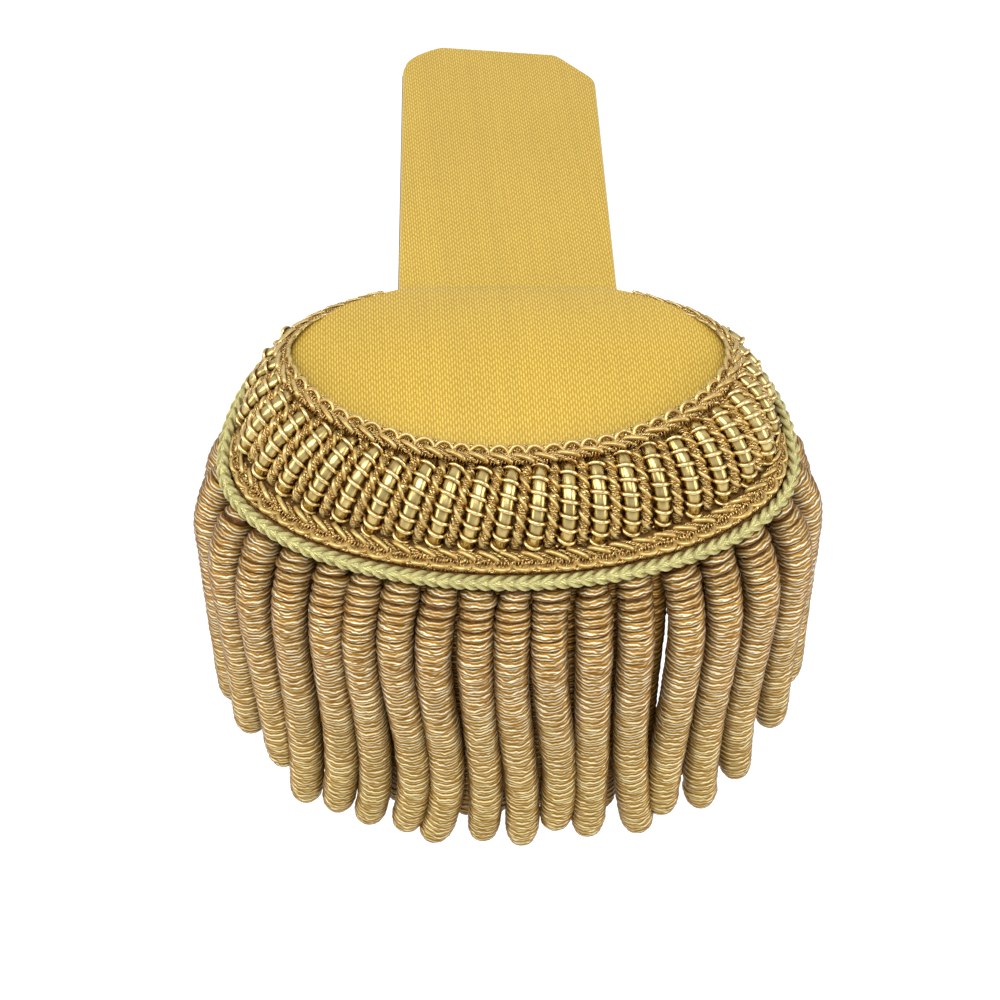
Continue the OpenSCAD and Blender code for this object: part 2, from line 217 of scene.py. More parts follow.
# joins surfaces into one mesh object, in metres, with one map in the surfaces' own units
def makePiece(name, surfaces, material, stands=()):
    offset = 0
    points, loops, totals, uv = [], [], [], []
    for s in surfaces:
        points.append(s["points"])
        for faces, faceMap in zip(s["faces"], s["maps"]):
            loops.append((faces + offset).ravel())
            totals.append(np.full(len(faces), faces.shape[1]))
            uv.append(faceMap.reshape(-1, 2))
        offset += len(s["points"])
    points, loops = np.concatenate(points) / 1000, np.concatenate(loops).astype(np.int32)
    totals, uv = np.concatenate(totals).astype(np.int32), np.concatenate(uv)
    starts = np.concatenate([[0], np.cumsum(totals)[:-1]]).astype(np.int32)
    mesh = bpy.data.meshes.new(name)
    mesh.vertices.add(len(points))
    mesh.vertices.foreach_set("co", points.astype(np.float32).ravel())
    mesh.loops.add(len(loops))
    mesh.loops.foreach_set("vertex_index", loops)
    mesh.polygons.add(len(totals))
    mesh.polygons.foreach_set("loop_start", starts)
    mesh.polygons.foreach_set("loop_total", totals)
    mesh.polygons.foreach_set("use_smooth", np.ones(len(totals), bool))
    layer = mesh.uv_layers.new(name="threadMap")
    layer.data.foreach_set("uv", uv.astype(np.float32).ravel())
    mesh.update(calc_edges=True)
    mesh.validate()
    mesh.materials.append(material)
    obj = bpy.data.objects.new(name, mesh)
    bpy.context.scene.collection.objects.link(obj)
    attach(obj, "root")
    if stands:
        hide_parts(*stands)
    print(f"  {name}: {int((totals - 2).sum())} triangles")


# a tube round a path: at each point a ring in the plane of two given directions
def tubeRound(path, sideways, upwards, halfSide, halfUp, sides, along):
    turn = np.arange(sides)[:, None] * 2 * math.pi / sides
    halfSide, halfUp = (np.broadcast_to(half, len(path))[:, None, None] for half in (halfSide, halfUp))
    ring = np.cos(turn) * halfSide * sideways[:, None] + np.sin(turn) * halfUp * upwards[:, None]
    return closedSurface(path[:, None] + ring, along)


# a round tube along any path, its ring turned by a direction that never runs along the path
def roundTube(path, hold, radius, sides, along):
    forward = unit(np.gradient(path, axis=0))
    sideways = unit(np.cross(hold, forward))
    return tubeRound(path, sideways, np.cross(forward, sideways), radius, radius, sides, along)


# Shader helpers

# gives a socket its value: a link where the value is a socket, and a constant where it isn't
def feed(tree, socket, value):
    if isinstance(value, bpy.types.NodeSocket):
        tree.links.new(value, socket)
    else:
        socket.default_value = value


# a shader node with its settings, its sockets fed by values or links
def addNode(tree, kind, inputs=None, **settings):
    n = tree.nodes.new("ShaderNode" + kind)
    for key, value in settings.items():
        setattr(n, key, value)
    for key, value in (inputs or {}).items():
        feed(tree, n.inputs[key], value)
    return n


# the output of a node group with the given inputs
def useGroup(tree, group, inputs):
    return addNode(tree, "Group", inputs, node_tree=group).outputs[0]


# one operation on values or sockets
def mathOf(tree, operation, *values):
    return addNode(tree, "Math", dict(enumerate(values)), operation=operation).outputs[0]


# the product of two values
def times(tree, first, second):
    return mathOf(tree, "MULTIPLY", first, second)


# a value times a factor, plus a second value
def scaled(tree, value, factor, added):
    return mathOf(tree, "MULTIPLY_ADD", value, factor, added)


# half of one plus the cosine of a number of turns
def cosineWave(tree, turns):
    return scaled(tree, mathOf(tree, "COSINE", times(tree, turns, 2 * math.pi)), 0.5, 0.5)


# noise of 0 to 1 at a place
def noiseOf(tree, place, scale, detail, **settings):
    inputs = {"Vector": place, "Scale": scale, "Detail": detail}
    return addNode(tree, "TexNoise", inputs, **settings).outputs["Fac"]


# one number of a place or direction, by its letter
def partOf(tree, vector, letter):
    return addNode(tree, "SeparateXYZ", {0: vector}).outputs[letter]


# a value between two levels taken to a value between two others, held at the ends
def rangeOf(tree, value, fromLow, fromHigh, toLow, toHigh=1.0):
    inputs = {"Value": value, "From Min": fromLow, "From Max": fromHigh, "To Min": toLow, "To Max": toHigh}
    return addNode(tree, "MapRange", inputs).outputs[0]


# the first colour at a factor of 0 and the second at 1
def mixColours(tree, factor, first, second, blend="MIX"):
    inputs = {0: factor, 6: first, 7: second}
    return addNode(tree, "Mix", inputs, data_type="RGBA", blend_type=blend).outputs[2]


# a screen colour made linear: the level, moved up a little, to the power 2.4, with a straight foot
def colour(r, g, b):
    level = [c / 255 for c in (r, g, b)]
    return tuple(c / 12.92 if c <= 0.04045 else ((c + 0.055) / 1.055) ** 2.4 for c in level) + (1.0,)


# a node group with the given sockets, and its input and output nodes
def newGroup(name, inputs, outputs):
    group = bpy.data.node_groups.new(name, "ShaderNodeTree")
    for label, kind, value in inputs:
        socket = group.interface.new_socket(name=label, in_out="INPUT", socket_type=kind)
        if value is not None:
            socket.default_value = value
    for label, kind in outputs:
        group.interface.new_socket(name=label, in_out="OUTPUT", socket_type=kind)
    return group, group.nodes.new("NodeGroupInput"), group.nodes.new("NodeGroupOutput")


# Threads lying side by side round a strand: ridges across the map's second axis, slewed along
# the first, broken up by noise. Mask is 1 on a thread's back and 0 between threads.
def buildThreadGroup():
    group, gin, gout = newGroup(
        "threadLines",
        [
            ("Map", "NodeSocketVector", None),
            ("Threads", "NodeSocketFloat", 8.0),
            ("Slew", "NodeSocketFloat", 0.3),
            ("Breakup", "NodeSocketFloat", 0.4),
            ("Grain", "NodeSocketFloat", 1.7),
        ],
        [("Mask", "NodeSocketFloat")],
    )
    given = gin.outputs
    noise = noiseOf(group, given["Map"], given["Grain"], 2.0, noise_dimensions="2D")
    wander = times(group, mathOf(group, "SUBTRACT", noise, 0.5), given["Breakup"])
    place = times(group, partOf(group, given["Map"], "Y"), given["Threads"])
    place = scaled(group, partOf(group, given["Map"], "X"), given["Slew"], place)
    place = scaled(group, wander, 4.0, place)
    group.links.new(cosineWave(group, place), gout.inputs["Mask"])
    return group


# Soft patches of tone over the whole object, for handling, dye and tarnish. Value is about 1.
def buildToneGroup():
    group, gin, gout = newGroup(
        "tonePatches",
        [("Size", "NodeSocketFloat", 8.0), ("Depth", "NodeSocketFloat", 0.2)],
        [("Value", "NodeSocketFloat")],
    )
    place = addNode(group, "TexCoord").outputs["Object"]
    noise = noiseOf(group, place, mathOf(group, "DIVIDE", 1000.0, gin.outputs["Size"]), 3.0)
    swing = times(group, mathOf(group, "SUBTRACT", noise, 0.5), gin.outputs["Depth"])
    group.links.new(scaled(group, swing, 2.0, 1.0), gout.inputs["Value"])
    return group


# How far round its own section a strand's surface faces out, from 1 outermost to 0 innermost:
# half of one plus the cosine of the turn from the outward side, raised to a power.
def buildOutwardGroup():
    group, gin, gout = newGroup(
        "outwardSide",
        [
            ("Map", "NodeSocketVector", None),
            ("Shift", "NodeSocketFloat", 0.0),
            ("Power", "NodeSocketFloat", 1.0),
        ],
        [("Mask", "NodeSocketFloat")],
    )
    turn = mathOf(group, "SUBTRACT", partOf(group, gin.outputs["Map"], "Y"), gin.outputs["Shift"])
    mask = mathOf(group, "POWER", cosineWave(group, turn), gin.outputs["Power"])
    group.links.new(mask, gout.inputs["Mask"])
    return group


threadGroup = buildThreadGroup()
toneGroup = buildToneGroup()
outwardGroup = buildOutwardGroup()


# the three groups, with the values that a look names
def threadsOf(tree, uv, look, **more):
    given = {"Map": uv, "Threads": look["threads"], "Slew": look["slew"], "Breakup": look["breakup"]}
    return useGroup(tree, threadGroup, {**given, **more})


def toneOf(tree, look):
    return useGroup(tree, toneGroup, {"Size": look["patch"], "Depth": look["patchDepth"]})


def outwardOf(tree, uv, shift, power):
    return useGroup(tree, outwardGroup, {"Map": uv, "Shift": shift, "Power": power})


# a material with its node tree and its shader
def newMaterial(name):
    material = bpy.data.materials.new(name)
    material.use_nodes = True
    tree = material.node_tree
    return material, tree, tree.nodes["Principled BSDF"]


# the piece's own map, in its surfaces' units
def threadMapOf(tree):
    return addNode(tree, "UVMap", uv_map="threadMap").outputs[0]


# constants on the shader's own sockets, an underscore standing for a space in a socket's name
def setShader(shader, **values):
    for key, value in values.items():
        shader.inputs[key.replace("_", " ")].default_value = value


# a colour ramp's two ends and its middle stop, each a place and a colour
def setRamp(ramp, first, last, middle):
    stops = ramp.color_ramp.elements
    for stop, (place, tint) in ((stops[0], first), (stops[1], last)):
        stop.position, stop.color = place, tint
    stops.new(middle[0]).color = middle[1]


# a colour times a value that changes over the surface, as the base colour
def paint(tree, shader, base, value):
    grey = addNode(tree, "CombineColor", {0: value, 1: value, 2: value}).outputs[0]
    tree.links.new(mixColours(tree, 1.0, base, grey, "MULTIPLY"), shader.inputs["Base Color"])


# relief from a height of 0 to 1, at a distance in millimetres
def bumpFrom(tree, shader, height, distance):
    bump = addNode(tree, "Bump", {"Height": height, "Distance": distance / 1000, "Strength": 1.0})
    tree.links.new(bump.outputs[0], shader.inputs["Normal"])


# metallic thread: threads of a light tone over a darker ground, in the given colours, with painted shade
# on a strand's inward side where a valley colour is given
def threadMaterial(name, look):
    material, tree, shader = newMaterial(name)
    uv = threadMapOf(tree)
    mask = threadsOf(tree, uv, look)
    base = mixColours(tree, mask, look["ground"], look["thread"])
    # painted shade: the valley colour darkens the side of a strand that faces in, towards what it lies on
    # or winds round
    if "valleyShade" in look:
        outer = outwardOf(tree, uv, look["outward"], look["depth"])
        base = mixColours(tree, outer, look["valleyShade"], base)
    paint(tree, shader, base, toneOf(tree, look))
    setShader(shader, Metallic=look["metallic"], Roughness=look["rough"])
    bumpFrom(tree, shader, mask, look["relief"])
    return material


# A look's valley colour is painted shade on a strand's inward side.
looks = {
    "heading": {
        "threads": 6.0, "slew": 1.5, "breakup": 0.8, "relief": 0.2, "metallic": 0.3, "rough": 0.5,
        "ground": colour(62, 34, 10), "thread": colour(122, 78, 30), "patch": 5.0, "patchDepth": 0.25,
    },
    "gimpSmooth": {
        "threads": 1.0, "slew": 0.0, "breakup": 0.1, "relief": 0.05, "metallic": 0.6, "rough": 0.24,
        "ground": colour(174, 134, 58), "thread": colour(220, 200, 138), "patch": 6.0, "patchDepth": 0.15,
        "valleyShade": colour(104, 58, 14), "outward": 0.25, "depth": 1.5,
    },
    "gimpRough": {
        "threads": 3.0, "slew": 1.6, "breakup": 0.5, "relief": 0.22, "metallic": 0.85, "rough": 0.2,
        "ground": colour(142, 98, 40), "thread": colour(244, 216, 142), "patch": 4.0, "patchDepth": 0.3,
        "valleyShade": colour(80, 44, 12), "outward": 0.25, "depth": 1.0,
    },
    "gimpWire": {
        "threads": 1.0, "slew": 0.0, "breakup": 0.0, "relief": 0.0, "metallic": 1.0, "rough": 0.2,
        "ground": colour(216, 160, 86), "thread": colour(250, 222, 160), "patch": 3.0, "patchDepth": 0.4,
    },
    "cord": {
        "threads": 9.0, "slew": 0.5, "breakup": 0.5, "relief": 0.16, "metallic": 0.3, "rough": 0.38,
        "ground": colour(180, 166, 88), "thread": colour(232, 228, 166), "patch": 2.0, "patchDepth": 0.35,
        "valleyShade": colour(134, 106, 42), "outward": 0.25, "depth": 1.2,
    },
    "copperCoil": {
        "threads": 2.0, "slew": 0.5, "breakup": 0.2, "relief": 0.05, "metallic": 0.9, "rough": 0.35,
        "ground": colour(70, 34, 10), "thread": colour(150, 92, 38), "patch": 5.0, "patchDepth": 0.3,
    },
}
materials = {name: threadMaterial(name, look) for name, look in looks.items()}


# Bullion strand: each turn is a flat bundle of threads, gold along their backs and brown between, with a
# painted highlight in cream on the turn's lower outer edge and painted shade where turn meets turn. It is
# browner and duller at the head, a painted shade under the cord, and paler and more even towards the tip.
# What is seen edge-on is painted brown, a painted shade at the strand's sides.
bullionLook = {
    "threads": 8.0, "slew": 0.0388, "breakup": 0.4, "grain": 0.3,
    "thin": 1.7,  # power that narrows the thread lines
    "stretch": (0.22, 9.0, 1.0),  # how the streaks lie along a strand
    # the first two place the painted highlight round a turn, the last two the painted shade in its groove
    "highlightAt": 0.04, "highlightPower": 2.4, "grooveShadeAt": -0.02, "grooveShadeDepth": 0.9,
    "paleFrom": -0.045, "paleTo": -0.1, "paleShare": 0.8,  # heights in metres
    "streaks": (0.32, 0.52, 0.3),  # noise where a streak begins and is full, and its least value
    # the first narrows the painted cream highlight, the next two set the painted shade seen edge-on
    "creamHighlightPower": 1.8, "edgeShadePower": 1.7, "edgeShadeAmount": 0.9, "patch": 10.0, "patchDepth": 0.16,
    # length and least tone of the painted shade at a strand's head, under the cord
    "headLength": 120.0, "headShade": 0.78,
    "metallic": 0.5, "rough": 0.4, "specular": 0.12, "relief": 0.1,
}


# the strand's look in one set of colours
def bullionMaterial(name, colours):
    look = bullionLook
    material, tree, shader = newMaterial(name)
    uv = threadMapOf(tree)
    lines = mathOf(tree, "POWER", threadsOf(tree, uv, look, Grain=look["grain"]), look["thin"])
    stretch = addNode(tree, "Mapping", {"Vector": uv, "Scale": look["stretch"]}).outputs[0]
    each = rangeOf(tree, noiseOf(tree, stretch, 1.0, 2.0), *look["streaks"])
    # painted highlight: thread lines are brightest on the lower outer edge of each turn
    lower = outwardOf(tree, uv, look["highlightAt"], look["highlightPower"])
    # painted shade: the mask that darkens the groove where one turn meets the next
    outer = outwardOf(tree, uv, look["grooveShadeAt"], look["grooveShadeDepth"])
    lines = times(tree, times(tree, lines, each), lower)
    base = mixColours(tree, each, colours["brown"], colours["orange"])
    # painted shade in the grooves between turns
    base = mixColours(tree, outer, colours["grooveShade"], base)
    base = mixColours(tree, lines, base, colours["gold"])
    # the cream tone is a painted highlight on the brightest thread lines
    base = mixColours(tree, mathOf(tree, "POWER", lines, look["creamHighlightPower"]), base, colours["creamHighlight"])
    height = partOf(tree, addNode(tree, "TexCoord").outputs["Object"], "Z")
    low = rangeOf(tree, height, look["paleFrom"], look["paleTo"], 0.0, look["paleShare"])
    pale = mixColours(tree, lines, colours["paleGround"], colours["pale"])
    base = mixColours(tree, times(tree, low, outer), base, pale)
    # painted shade: surfaces seen edge-on are darkened to brown
    facing = addNode(tree, "LayerWeight", {"Blend": 0.5}).outputs["Facing"]
    edgeShade = times(tree, mathOf(tree, "POWER", facing, look["edgeShadePower"]), look["edgeShadeAmount"])
    base = mixColours(tree, edgeShade, base, colours["brown"])
    # painted shade: darker towards the head, under the cord
    head = rangeOf(tree, partOf(tree, uv, "X"), 0.0, look["headLength"], look["headShade"])
    paint(tree, shader, base, times(tree, toneOf(tree, look), head))
    setShader(shader, Metallic=look["metallic"], Roughness=look["rough"])
    setShader(shader, Specular_IOR_Level=look["specular"])
    bumpFrom(tree, shader, lines, look["relief"])
    return material


purlLook = {
    "stretch": (0.25, 5.0, 1.0), "uneven": 0.1, "relief": 0.05,
    "outward": 0.25, "shadowPower": 1.7, "patch": 5.0, "patchDepth": 0.3,
}


# Smooth gilt purl: low streaks along it, lighter and darker, in part uneven gilt and in part painted
# reflection, and an even polish.
# Where a valley colour is given, the side that faces the rib's middle is dark, a painted shadow beside the
# wire. Where a wire's pitch is given, the core is dark in a helix under the wire, a painted shadow.
def purlMaterial(name, look):
    look = {**purlLook, **look}
    material, tree, shader = newMaterial(name)
    uv = threadMapOf(tree)
    stretch = addNode(tree, "Mapping", {"Vector": uv, "Scale": look["stretch"]}).outputs[0]
    # light and dark streaks along the strand: in part uneven gilt, in part painted reflection
    streakAndReflection = noiseOf(tree, stretch, 1.0, 2.0)
    base = mixColours(tree, streakAndReflection, look["dark"], look["light"])
    # painted shade on the wire's side that faces the rib's middle
    if "valleyShade" in look:
        outer = outwardOf(tree, uv, look["outward"], look["depth"])
        base = mixColours(tree, outer, look["valleyShade"], base)
    # painted shadow: a dark helix on the core under the wire
    if "wirePitch" in look:
        helix = threadsOf(tree, uv, {"threads": 1.0, "slew": 1 / look["wirePitch"], "breakup": 0.0})
        under = mathOf(tree, "POWER", helix, look["shadowPower"])
        base = mixColours(tree, under, base, look["shadow"])
    paint(tree, shader, base, toneOf(tree, look))
    rough = scaled(tree, streakAndReflection, look["uneven"], look["rough"])
    tree.links.new(rough, shader.inputs["Roughness"])
    setShader(shader, Metallic=1.0)
    bumpFrom(tree, shader, streakAndReflection, look["relief"])
    return material


materials["fringe"] = bullionMaterial("bullionStrand", {
    "grooveShade": colour(100, 50, 6), "brown": colour(112, 62, 6), "orange": colour(150, 106, 26),
    "gold": colour(200, 164, 76), "creamHighlight": colour(246, 254, 236),
    "pale": colour(240, 228, 164), "paleGround": colour(146, 108, 30),
})
# a darker copy of the strand's colours for the row behind: painted shade
materials["fringeInner"] = bullionMaterial("bullionStrandShaded", {
    "grooveShade": colour(60, 30, 4), "brown": colour(88, 50, 8), "orange": colour(136, 90, 24),
    "gold": colour(176, 130, 56), "creamHighlight": colour(226, 196, 130),
    "pale": colour(200, 164, 94), "paleGround": colour(122, 84, 28),
})
materials["ribCore"] = purlMaterial("ribCore", {
    "light": colour(244, 224, 154), "dark": colour(148, 120, 60), "rough": 0.18,
    "wirePitch": 3.1, "shadow": colour(92, 54, 14),
})
materials["ribWire"] = purlMaterial("ribWire", {
    "light": colour(252, 232, 172), "dark": colour(216, 180, 108), "rough": 0.18,
    "valleyShade": colour(104, 60, 16), "depth": 1.4,
})


# Cloth of gold in a broken herringbone. Each lengthwise thread has a whole number, and its floats
# start later by a step that rises and falls with that number, so the floats lie in a zigzag.
def clothMaterial():
    look = {
        "rowHeight": 1.79, "thread": 0.615, "step": 0.38, "reversal": 2.0, "turn": -4.0,
        "fuzz": 1.6, "slip": 0.9,  # scale of the noise, and how far it shifts the floats
        "floatGain": 0.8, "floatLift": 0.6, "floatSoft": 0.4,
        "fuzzGain": 0.6, "fuzzLift": 0.7, "threadGain": 0.06, "threadLift": 0.97,
        "patch": 30.0, "patchDepth": 0.08, "relief": 0.06,
        "light": colour(217, 191, 86), "mid": colour(192, 157, 52), "dark": colour(170, 130, 36),
    }
    material, tree, shader = newMaterial("goldTwill")
    uv = threadMapOf(tree)
    turn = (0, 0, math.radians(look["turn"]))
    turned = addNode(tree, "Mapping", {"Vector": uv, "Rotation": turn}).outputs[0]
    across = mathOf(tree, "DIVIDE", partOf(tree, turned, "X"), look["thread"])
    number = mathOf(tree, "FLOOR", across)
    offset = times(tree, mathOf(tree, "PINGPONG", number, look["reversal"]), look["step"])
    fuzz = noiseOf(tree, uv, look["fuzz"], 3.0)
    slip = times(tree, mathOf(tree, "SUBTRACT", fuzz, 0.5), look["slip"])
    row = mathOf(tree, "DIVIDE", partOf(tree, turned, "Y"), look["rowHeight"])
    row = mathOf(tree, "ADD", mathOf(tree, "ADD", row, offset), slip)
    wave = mathOf(tree, "COSINE", times(tree, row, 2 * math.pi))
    floats = scaled(tree, wave, look["floatGain"], look["floatLift"])
    floatShape = mathOf(tree, "SMOOTH_MIN", floats, 1.0, look["floatSoft"])
    profile = mathOf(tree, "SINE", times(tree, mathOf(tree, "FRACT", across), math.pi))
    height = times(tree, scaled(tree, floatShape, 0.5, 0.5), profile)
    height = times(tree, height, scaled(tree, fuzz, look["fuzzGain"], look["fuzzLift"]))
    ramp = addNode(tree, "ValToRGB", {0: height})
    setRamp(ramp, (0.1, look["dark"]), (0.95, look["light"]), (0.5, look["mid"]))
    each = addNode(tree, "TexWhiteNoise", {"W": number}, noise_dimensions="1D").outputs["Value"]
    each = scaled(tree, each, look["threadGain"], look["threadLift"])
    paint(tree, shader, ramp.outputs[0], times(tree, toneOf(tree, look), each))
    setShader(shader, Metallic=0.12, Roughness=0.45, Sheen_Weight=0.32, Sheen_Roughness=0.35)
    bumpFrom(tree, shader, height, look["relief"])
    return material


feltLook = {"fibres": 1600.0, "patch": 12.0, "patchDepth": 0.2, "rough": 0.95, "relief": 0.3}


# felt: short fibres in every direction over a dark ground
def feltMaterial(name, light, dark):
    look = feltLook
    material, tree, shader = newMaterial(name)
    fibre = noiseOf(tree, addNode(tree, "TexCoord").outputs["Object"], look["fibres"], 4.0)
    paint(tree, shader, mixColours(tree, fibre, dark, light), toneOf(tree, look))
    setShader(shader, Roughness=look["rough"])
    bumpFrom(tree, shader, fibre, look["relief"])
    return material


materials["cloth"] = clothMaterial()
materials["felt"] = feltMaterial("liningFelt", colour(92, 68, 44), colour(48, 34, 22))
materials["pad"] = feltMaterial("rollCover", colour(172, 122, 54), colour(98, 60, 20))
print("materials made:", len(materials))


# Cloth strap and padded field

clothForm = {
    "halfWidth": 27.0, "length": 109.0, "thickTop": 4.0, "thickBottom": 1.3,
    "lean": 0.0244,  # sideways drift for each millimetre of length
    "endSlant": 0.125,  # fall of the far end for each millimetre to the right
    "clipWidth": 10.5, "clipLength": 11.5,
    "cornerRound": 1.9,  # how far the left corner stands out from the straight clip
    "rimHeight": 1.2, "rimRise": 10.1, "crown": 2.6,
    "fall": 0.3346, "strapHeight": 1.265,  # the strap's plane as the tilted board has it
    "strapShare": (30, 6),  # half width inside which that plane holds, and its fading width
    "soft": 0.5,  # width in height over which the field and the strap blend
    "edgeRound": 0.9, "endLength": 2.5, "endIn": 2.2,
    "base": -1.5,  # underside of the padded field
}


# Height of the field over the board: a plane that rises to the front and flattens, plus a crown
# of one less the squared share of the way to the rim; near the junction the strap's own plane.
def fieldHeight(x, y):
    f = clothForm
    halfWidth, middle, front, rear = boardForm["rim"]
    share = (x / halfWidth) ** 2 + ((y + middle) / np.where(y < -middle, front, rear)) ** 2
    t = np.clip((1 - y) / (middle + front), 0, 1)
    field = f["rimHeight"] + f["rimRise"] * (1 - (1 - t) ** 1.8) + f["crown"] * np.clip(1 - share, 0, 1)
    field = np.where(y > 1, field - 0.05 - f["fall"] * y, field)
    strap = f["strapHeight"] - f["fall"] * y
    inStrap = smoothStep((f["strapShare"][0] - np.abs(x)) / f["strapShare"][1])
    blend = np.clip(0.5 + 0.5 * (field - strap) / f["soft"], 0, 1)
    joined = strap + (field - strap) * blend + f["soft"] * blend * (1 - blend) * 0.5
    return np.where(y > -8, joined * inStrap + field * (1 - inStrap), field)


# One ring for each row: the top's points, a rounded side, a wall drawn in at its foot, a flat base
# of three points and the other side. Its map runs on down the walls.
def clothRings(x, z, w, r, wallLow, footIn, base):
    turn = np.radians([18, 38, 60, 90])
    r = r[:, None]
    ringX, ringZ = [x], [z]
    for s, edge in ((1, z[:, -1:]), (-1, z[:, :1])):
        wall = np.stack([s * w, s * (w - footIn)], 1)
        sideX = np.concatenate([s * (w[:, None] - r + r * np.sin(turn)), wall], 1)
        sideZ = np.concatenate([edge - r * (1 - np.cos(turn)), 0 * wall + [wallLow, base]], 1)
        ringX.append(sideX[:, ::s])
        ringZ.append(sideZ[:, ::s])
        if s > 0:
            ringX.append(w[:, None] * [0.5, 0, -0.5])
            ringZ.append(np.full((len(w), 3), base))
    ringX, ringZ = np.concatenate(ringX, 1), np.concatenate(ringZ, 1)
    down = np.clip(np.where(ringX > 0, z[:, -1:], z[:, :1]) - ringZ, 0, 5)
    return ringX, ringZ, down


# The cloth from the front of the field to the strap's far end, one row after another.
def makeCloth():
    f = clothForm
    top = np.sin(np.linspace(-1, 1, 61) * math.pi / 2 * 0.92) / math.sin(math.pi / 2 * 0.92)
    theta = np.concatenate([np.linspace(1.2, 20, 16), np.linspace(21.5, 148.4, 120)])
    line = ovalAt(boardForm["rim"], theta)
    w, y = line[:, 0], line[:, 1:]

    # field rows, in the board's frame
    r = np.minimum(f["edgeRound"], 0.4 * w)
    x = top * (w - r)[:, None]
    ringX, ringZ, down = clothRings(x, fieldHeight(x, y + 0 * x), w, r, 0.2, 0, f["base"])
    ringY = y + 0 * ringX
    fieldRows = toPart(np.stack([ringX, ringY, ringZ], -1))
    fieldMap = np.stack([ringX + np.sign(ringX) * down, ringY], -1)

    # strap rows, flat in the part's frame
    length, rounding = f["length"], np.radians([25, 50, 72, 90])
    y = np.concatenate([np.linspace(1.0, 92, 96), np.linspace(93, length - f["edgeRound"], 36)])
    y = np.concatenate([y, length - f["edgeRound"] * (1 - np.sin(rounding))])
    fine = np.linspace(0, length, 600)
    clip, clipFine = (np.clip((v - length) / f["clipLength"] + 1, 0, 1) for v in (y, fine))
    window = np.hanning(41)
    wFine = f["halfWidth"] - f["clipWidth"] * clipFine
    wFine = np.convolve(np.pad(wFine, 20, mode="edge"), window / window.sum(), mode="valid")
    w = np.where(y > 60, np.interp(y, fine, wFine), f["halfWidth"])
    endShare = np.clip((y - (length - f["endLength"])) / f["endLength"], 0, 1)
    w = w - f["endIn"] * (1 - np.sqrt(1 - endShare ** 2))
    drop = np.zeros(len(w))
    drop[-4:] = f["edgeRound"] * (1 - np.cos(rounding))
    x = top * (w - f["edgeRound"])[:, None]
    z = f["thickTop"] - drop[:, None] + 0 * x
    r, base = np.full(len(w), f["edgeRound"]), f["thickBottom"]
    ringX, ringZ, down = clothRings(x, z, w, r, base + 0.5, 0.3, base)
    bulge = f["cornerRound"] * np.sin(math.pi * np.clip((clip - 0.02) / 0.93, 0, 1))
    ringX = ringX * np.where(ringX < 0, 1 + (bulge / w)[:, None], 1)
    ringY = y[:, None] - (f["endSlant"] * smoothStep(y / length))[:, None] * ringX
    strapRows = np.stack([ringX - f["lean"] * ringY, ringY, ringZ], -1)
    strapMap = np.stack([ringX + np.sign(ringX) * down, ringY], -1)

    surface = closedSurface(np.concatenate([fieldRows, strapRows]))
    flat = np.concatenate([fieldMap, strapMap]).reshape(-1, 2)
    surface["maps"] = [flat[faces] for faces in surface["faces"]]
    makePiece("clothStrap", [surface], materials["cloth"], ["strap"])


makeCloth()


# Felt lining

liningForm = {"inset": 2.1, "thick": 1.0, "top": -1.8, "halfWidth": 27.3, "round": 0.3}


# rows across the lining: the crescent by its edge oval drawn in, then the strap's plain strip
def makeLining():
    f, c = liningForm, clothForm
    top = np.linspace(-1, 1, 41)

    # one ring for each half width: top, side, bottom and other side, with cut corners
    def ring(w, high, low):
        side = w[:, None]
        flat = top * (side - np.minimum(f["round"], 0.3 * side))
        x = np.concatenate([flat, side, side, flat[:, ::-1], -side, -side], 1)
        z = [high] * len(top) + [high - f["round"], low + f["round"]]
        z += [low] * len(top) + [low + f["round"], high - f["round"]]
        return x, z + 0 * x

    halfWidth, middle, front, rear = boardForm["edge"]
    sizes = (halfWidth - f["inset"], middle, front - f["inset"], rear - f["inset"])
    line = ovalAt(sizes, np.concatenate([np.linspace(1.5, 12, 8), np.linspace(14, 145.5, 90)]))
    x, z = ring(line[:, 0], f["top"], f["top"] - f["thick"])
    y = line[:, 1:] + 0 * x
    wave = 0.12 * np.sin(x * 0.35) * np.sin(y * 0.3)
    crescent = toPart(np.stack([x, y, z + np.minimum(wave, 0)], -1))
    length = c["length"] + 0.1
    y = np.concatenate([np.linspace(1.0, 95, 48), np.linspace(96, length, 24)])
    clip = np.clip((y - (length - c["clipLength"])) / c["clipLength"], 0, 1)
    x, z = ring(f["halfWidth"] - c["clipWidth"] * clip, 1.0, 0.0)
    y = y[:, None] - (c["endSlant"] * smoothStep(y / c["length"]))[:, None] * x
    strip = np.stack([x - c["lean"] * y, y, z], -1)
    surface = closedSurface(np.concatenate([crescent, strip]))
    makePiece("feltLining", [surface], materials["felt"], ["lining"])


makeLining()


# The ribbed roll

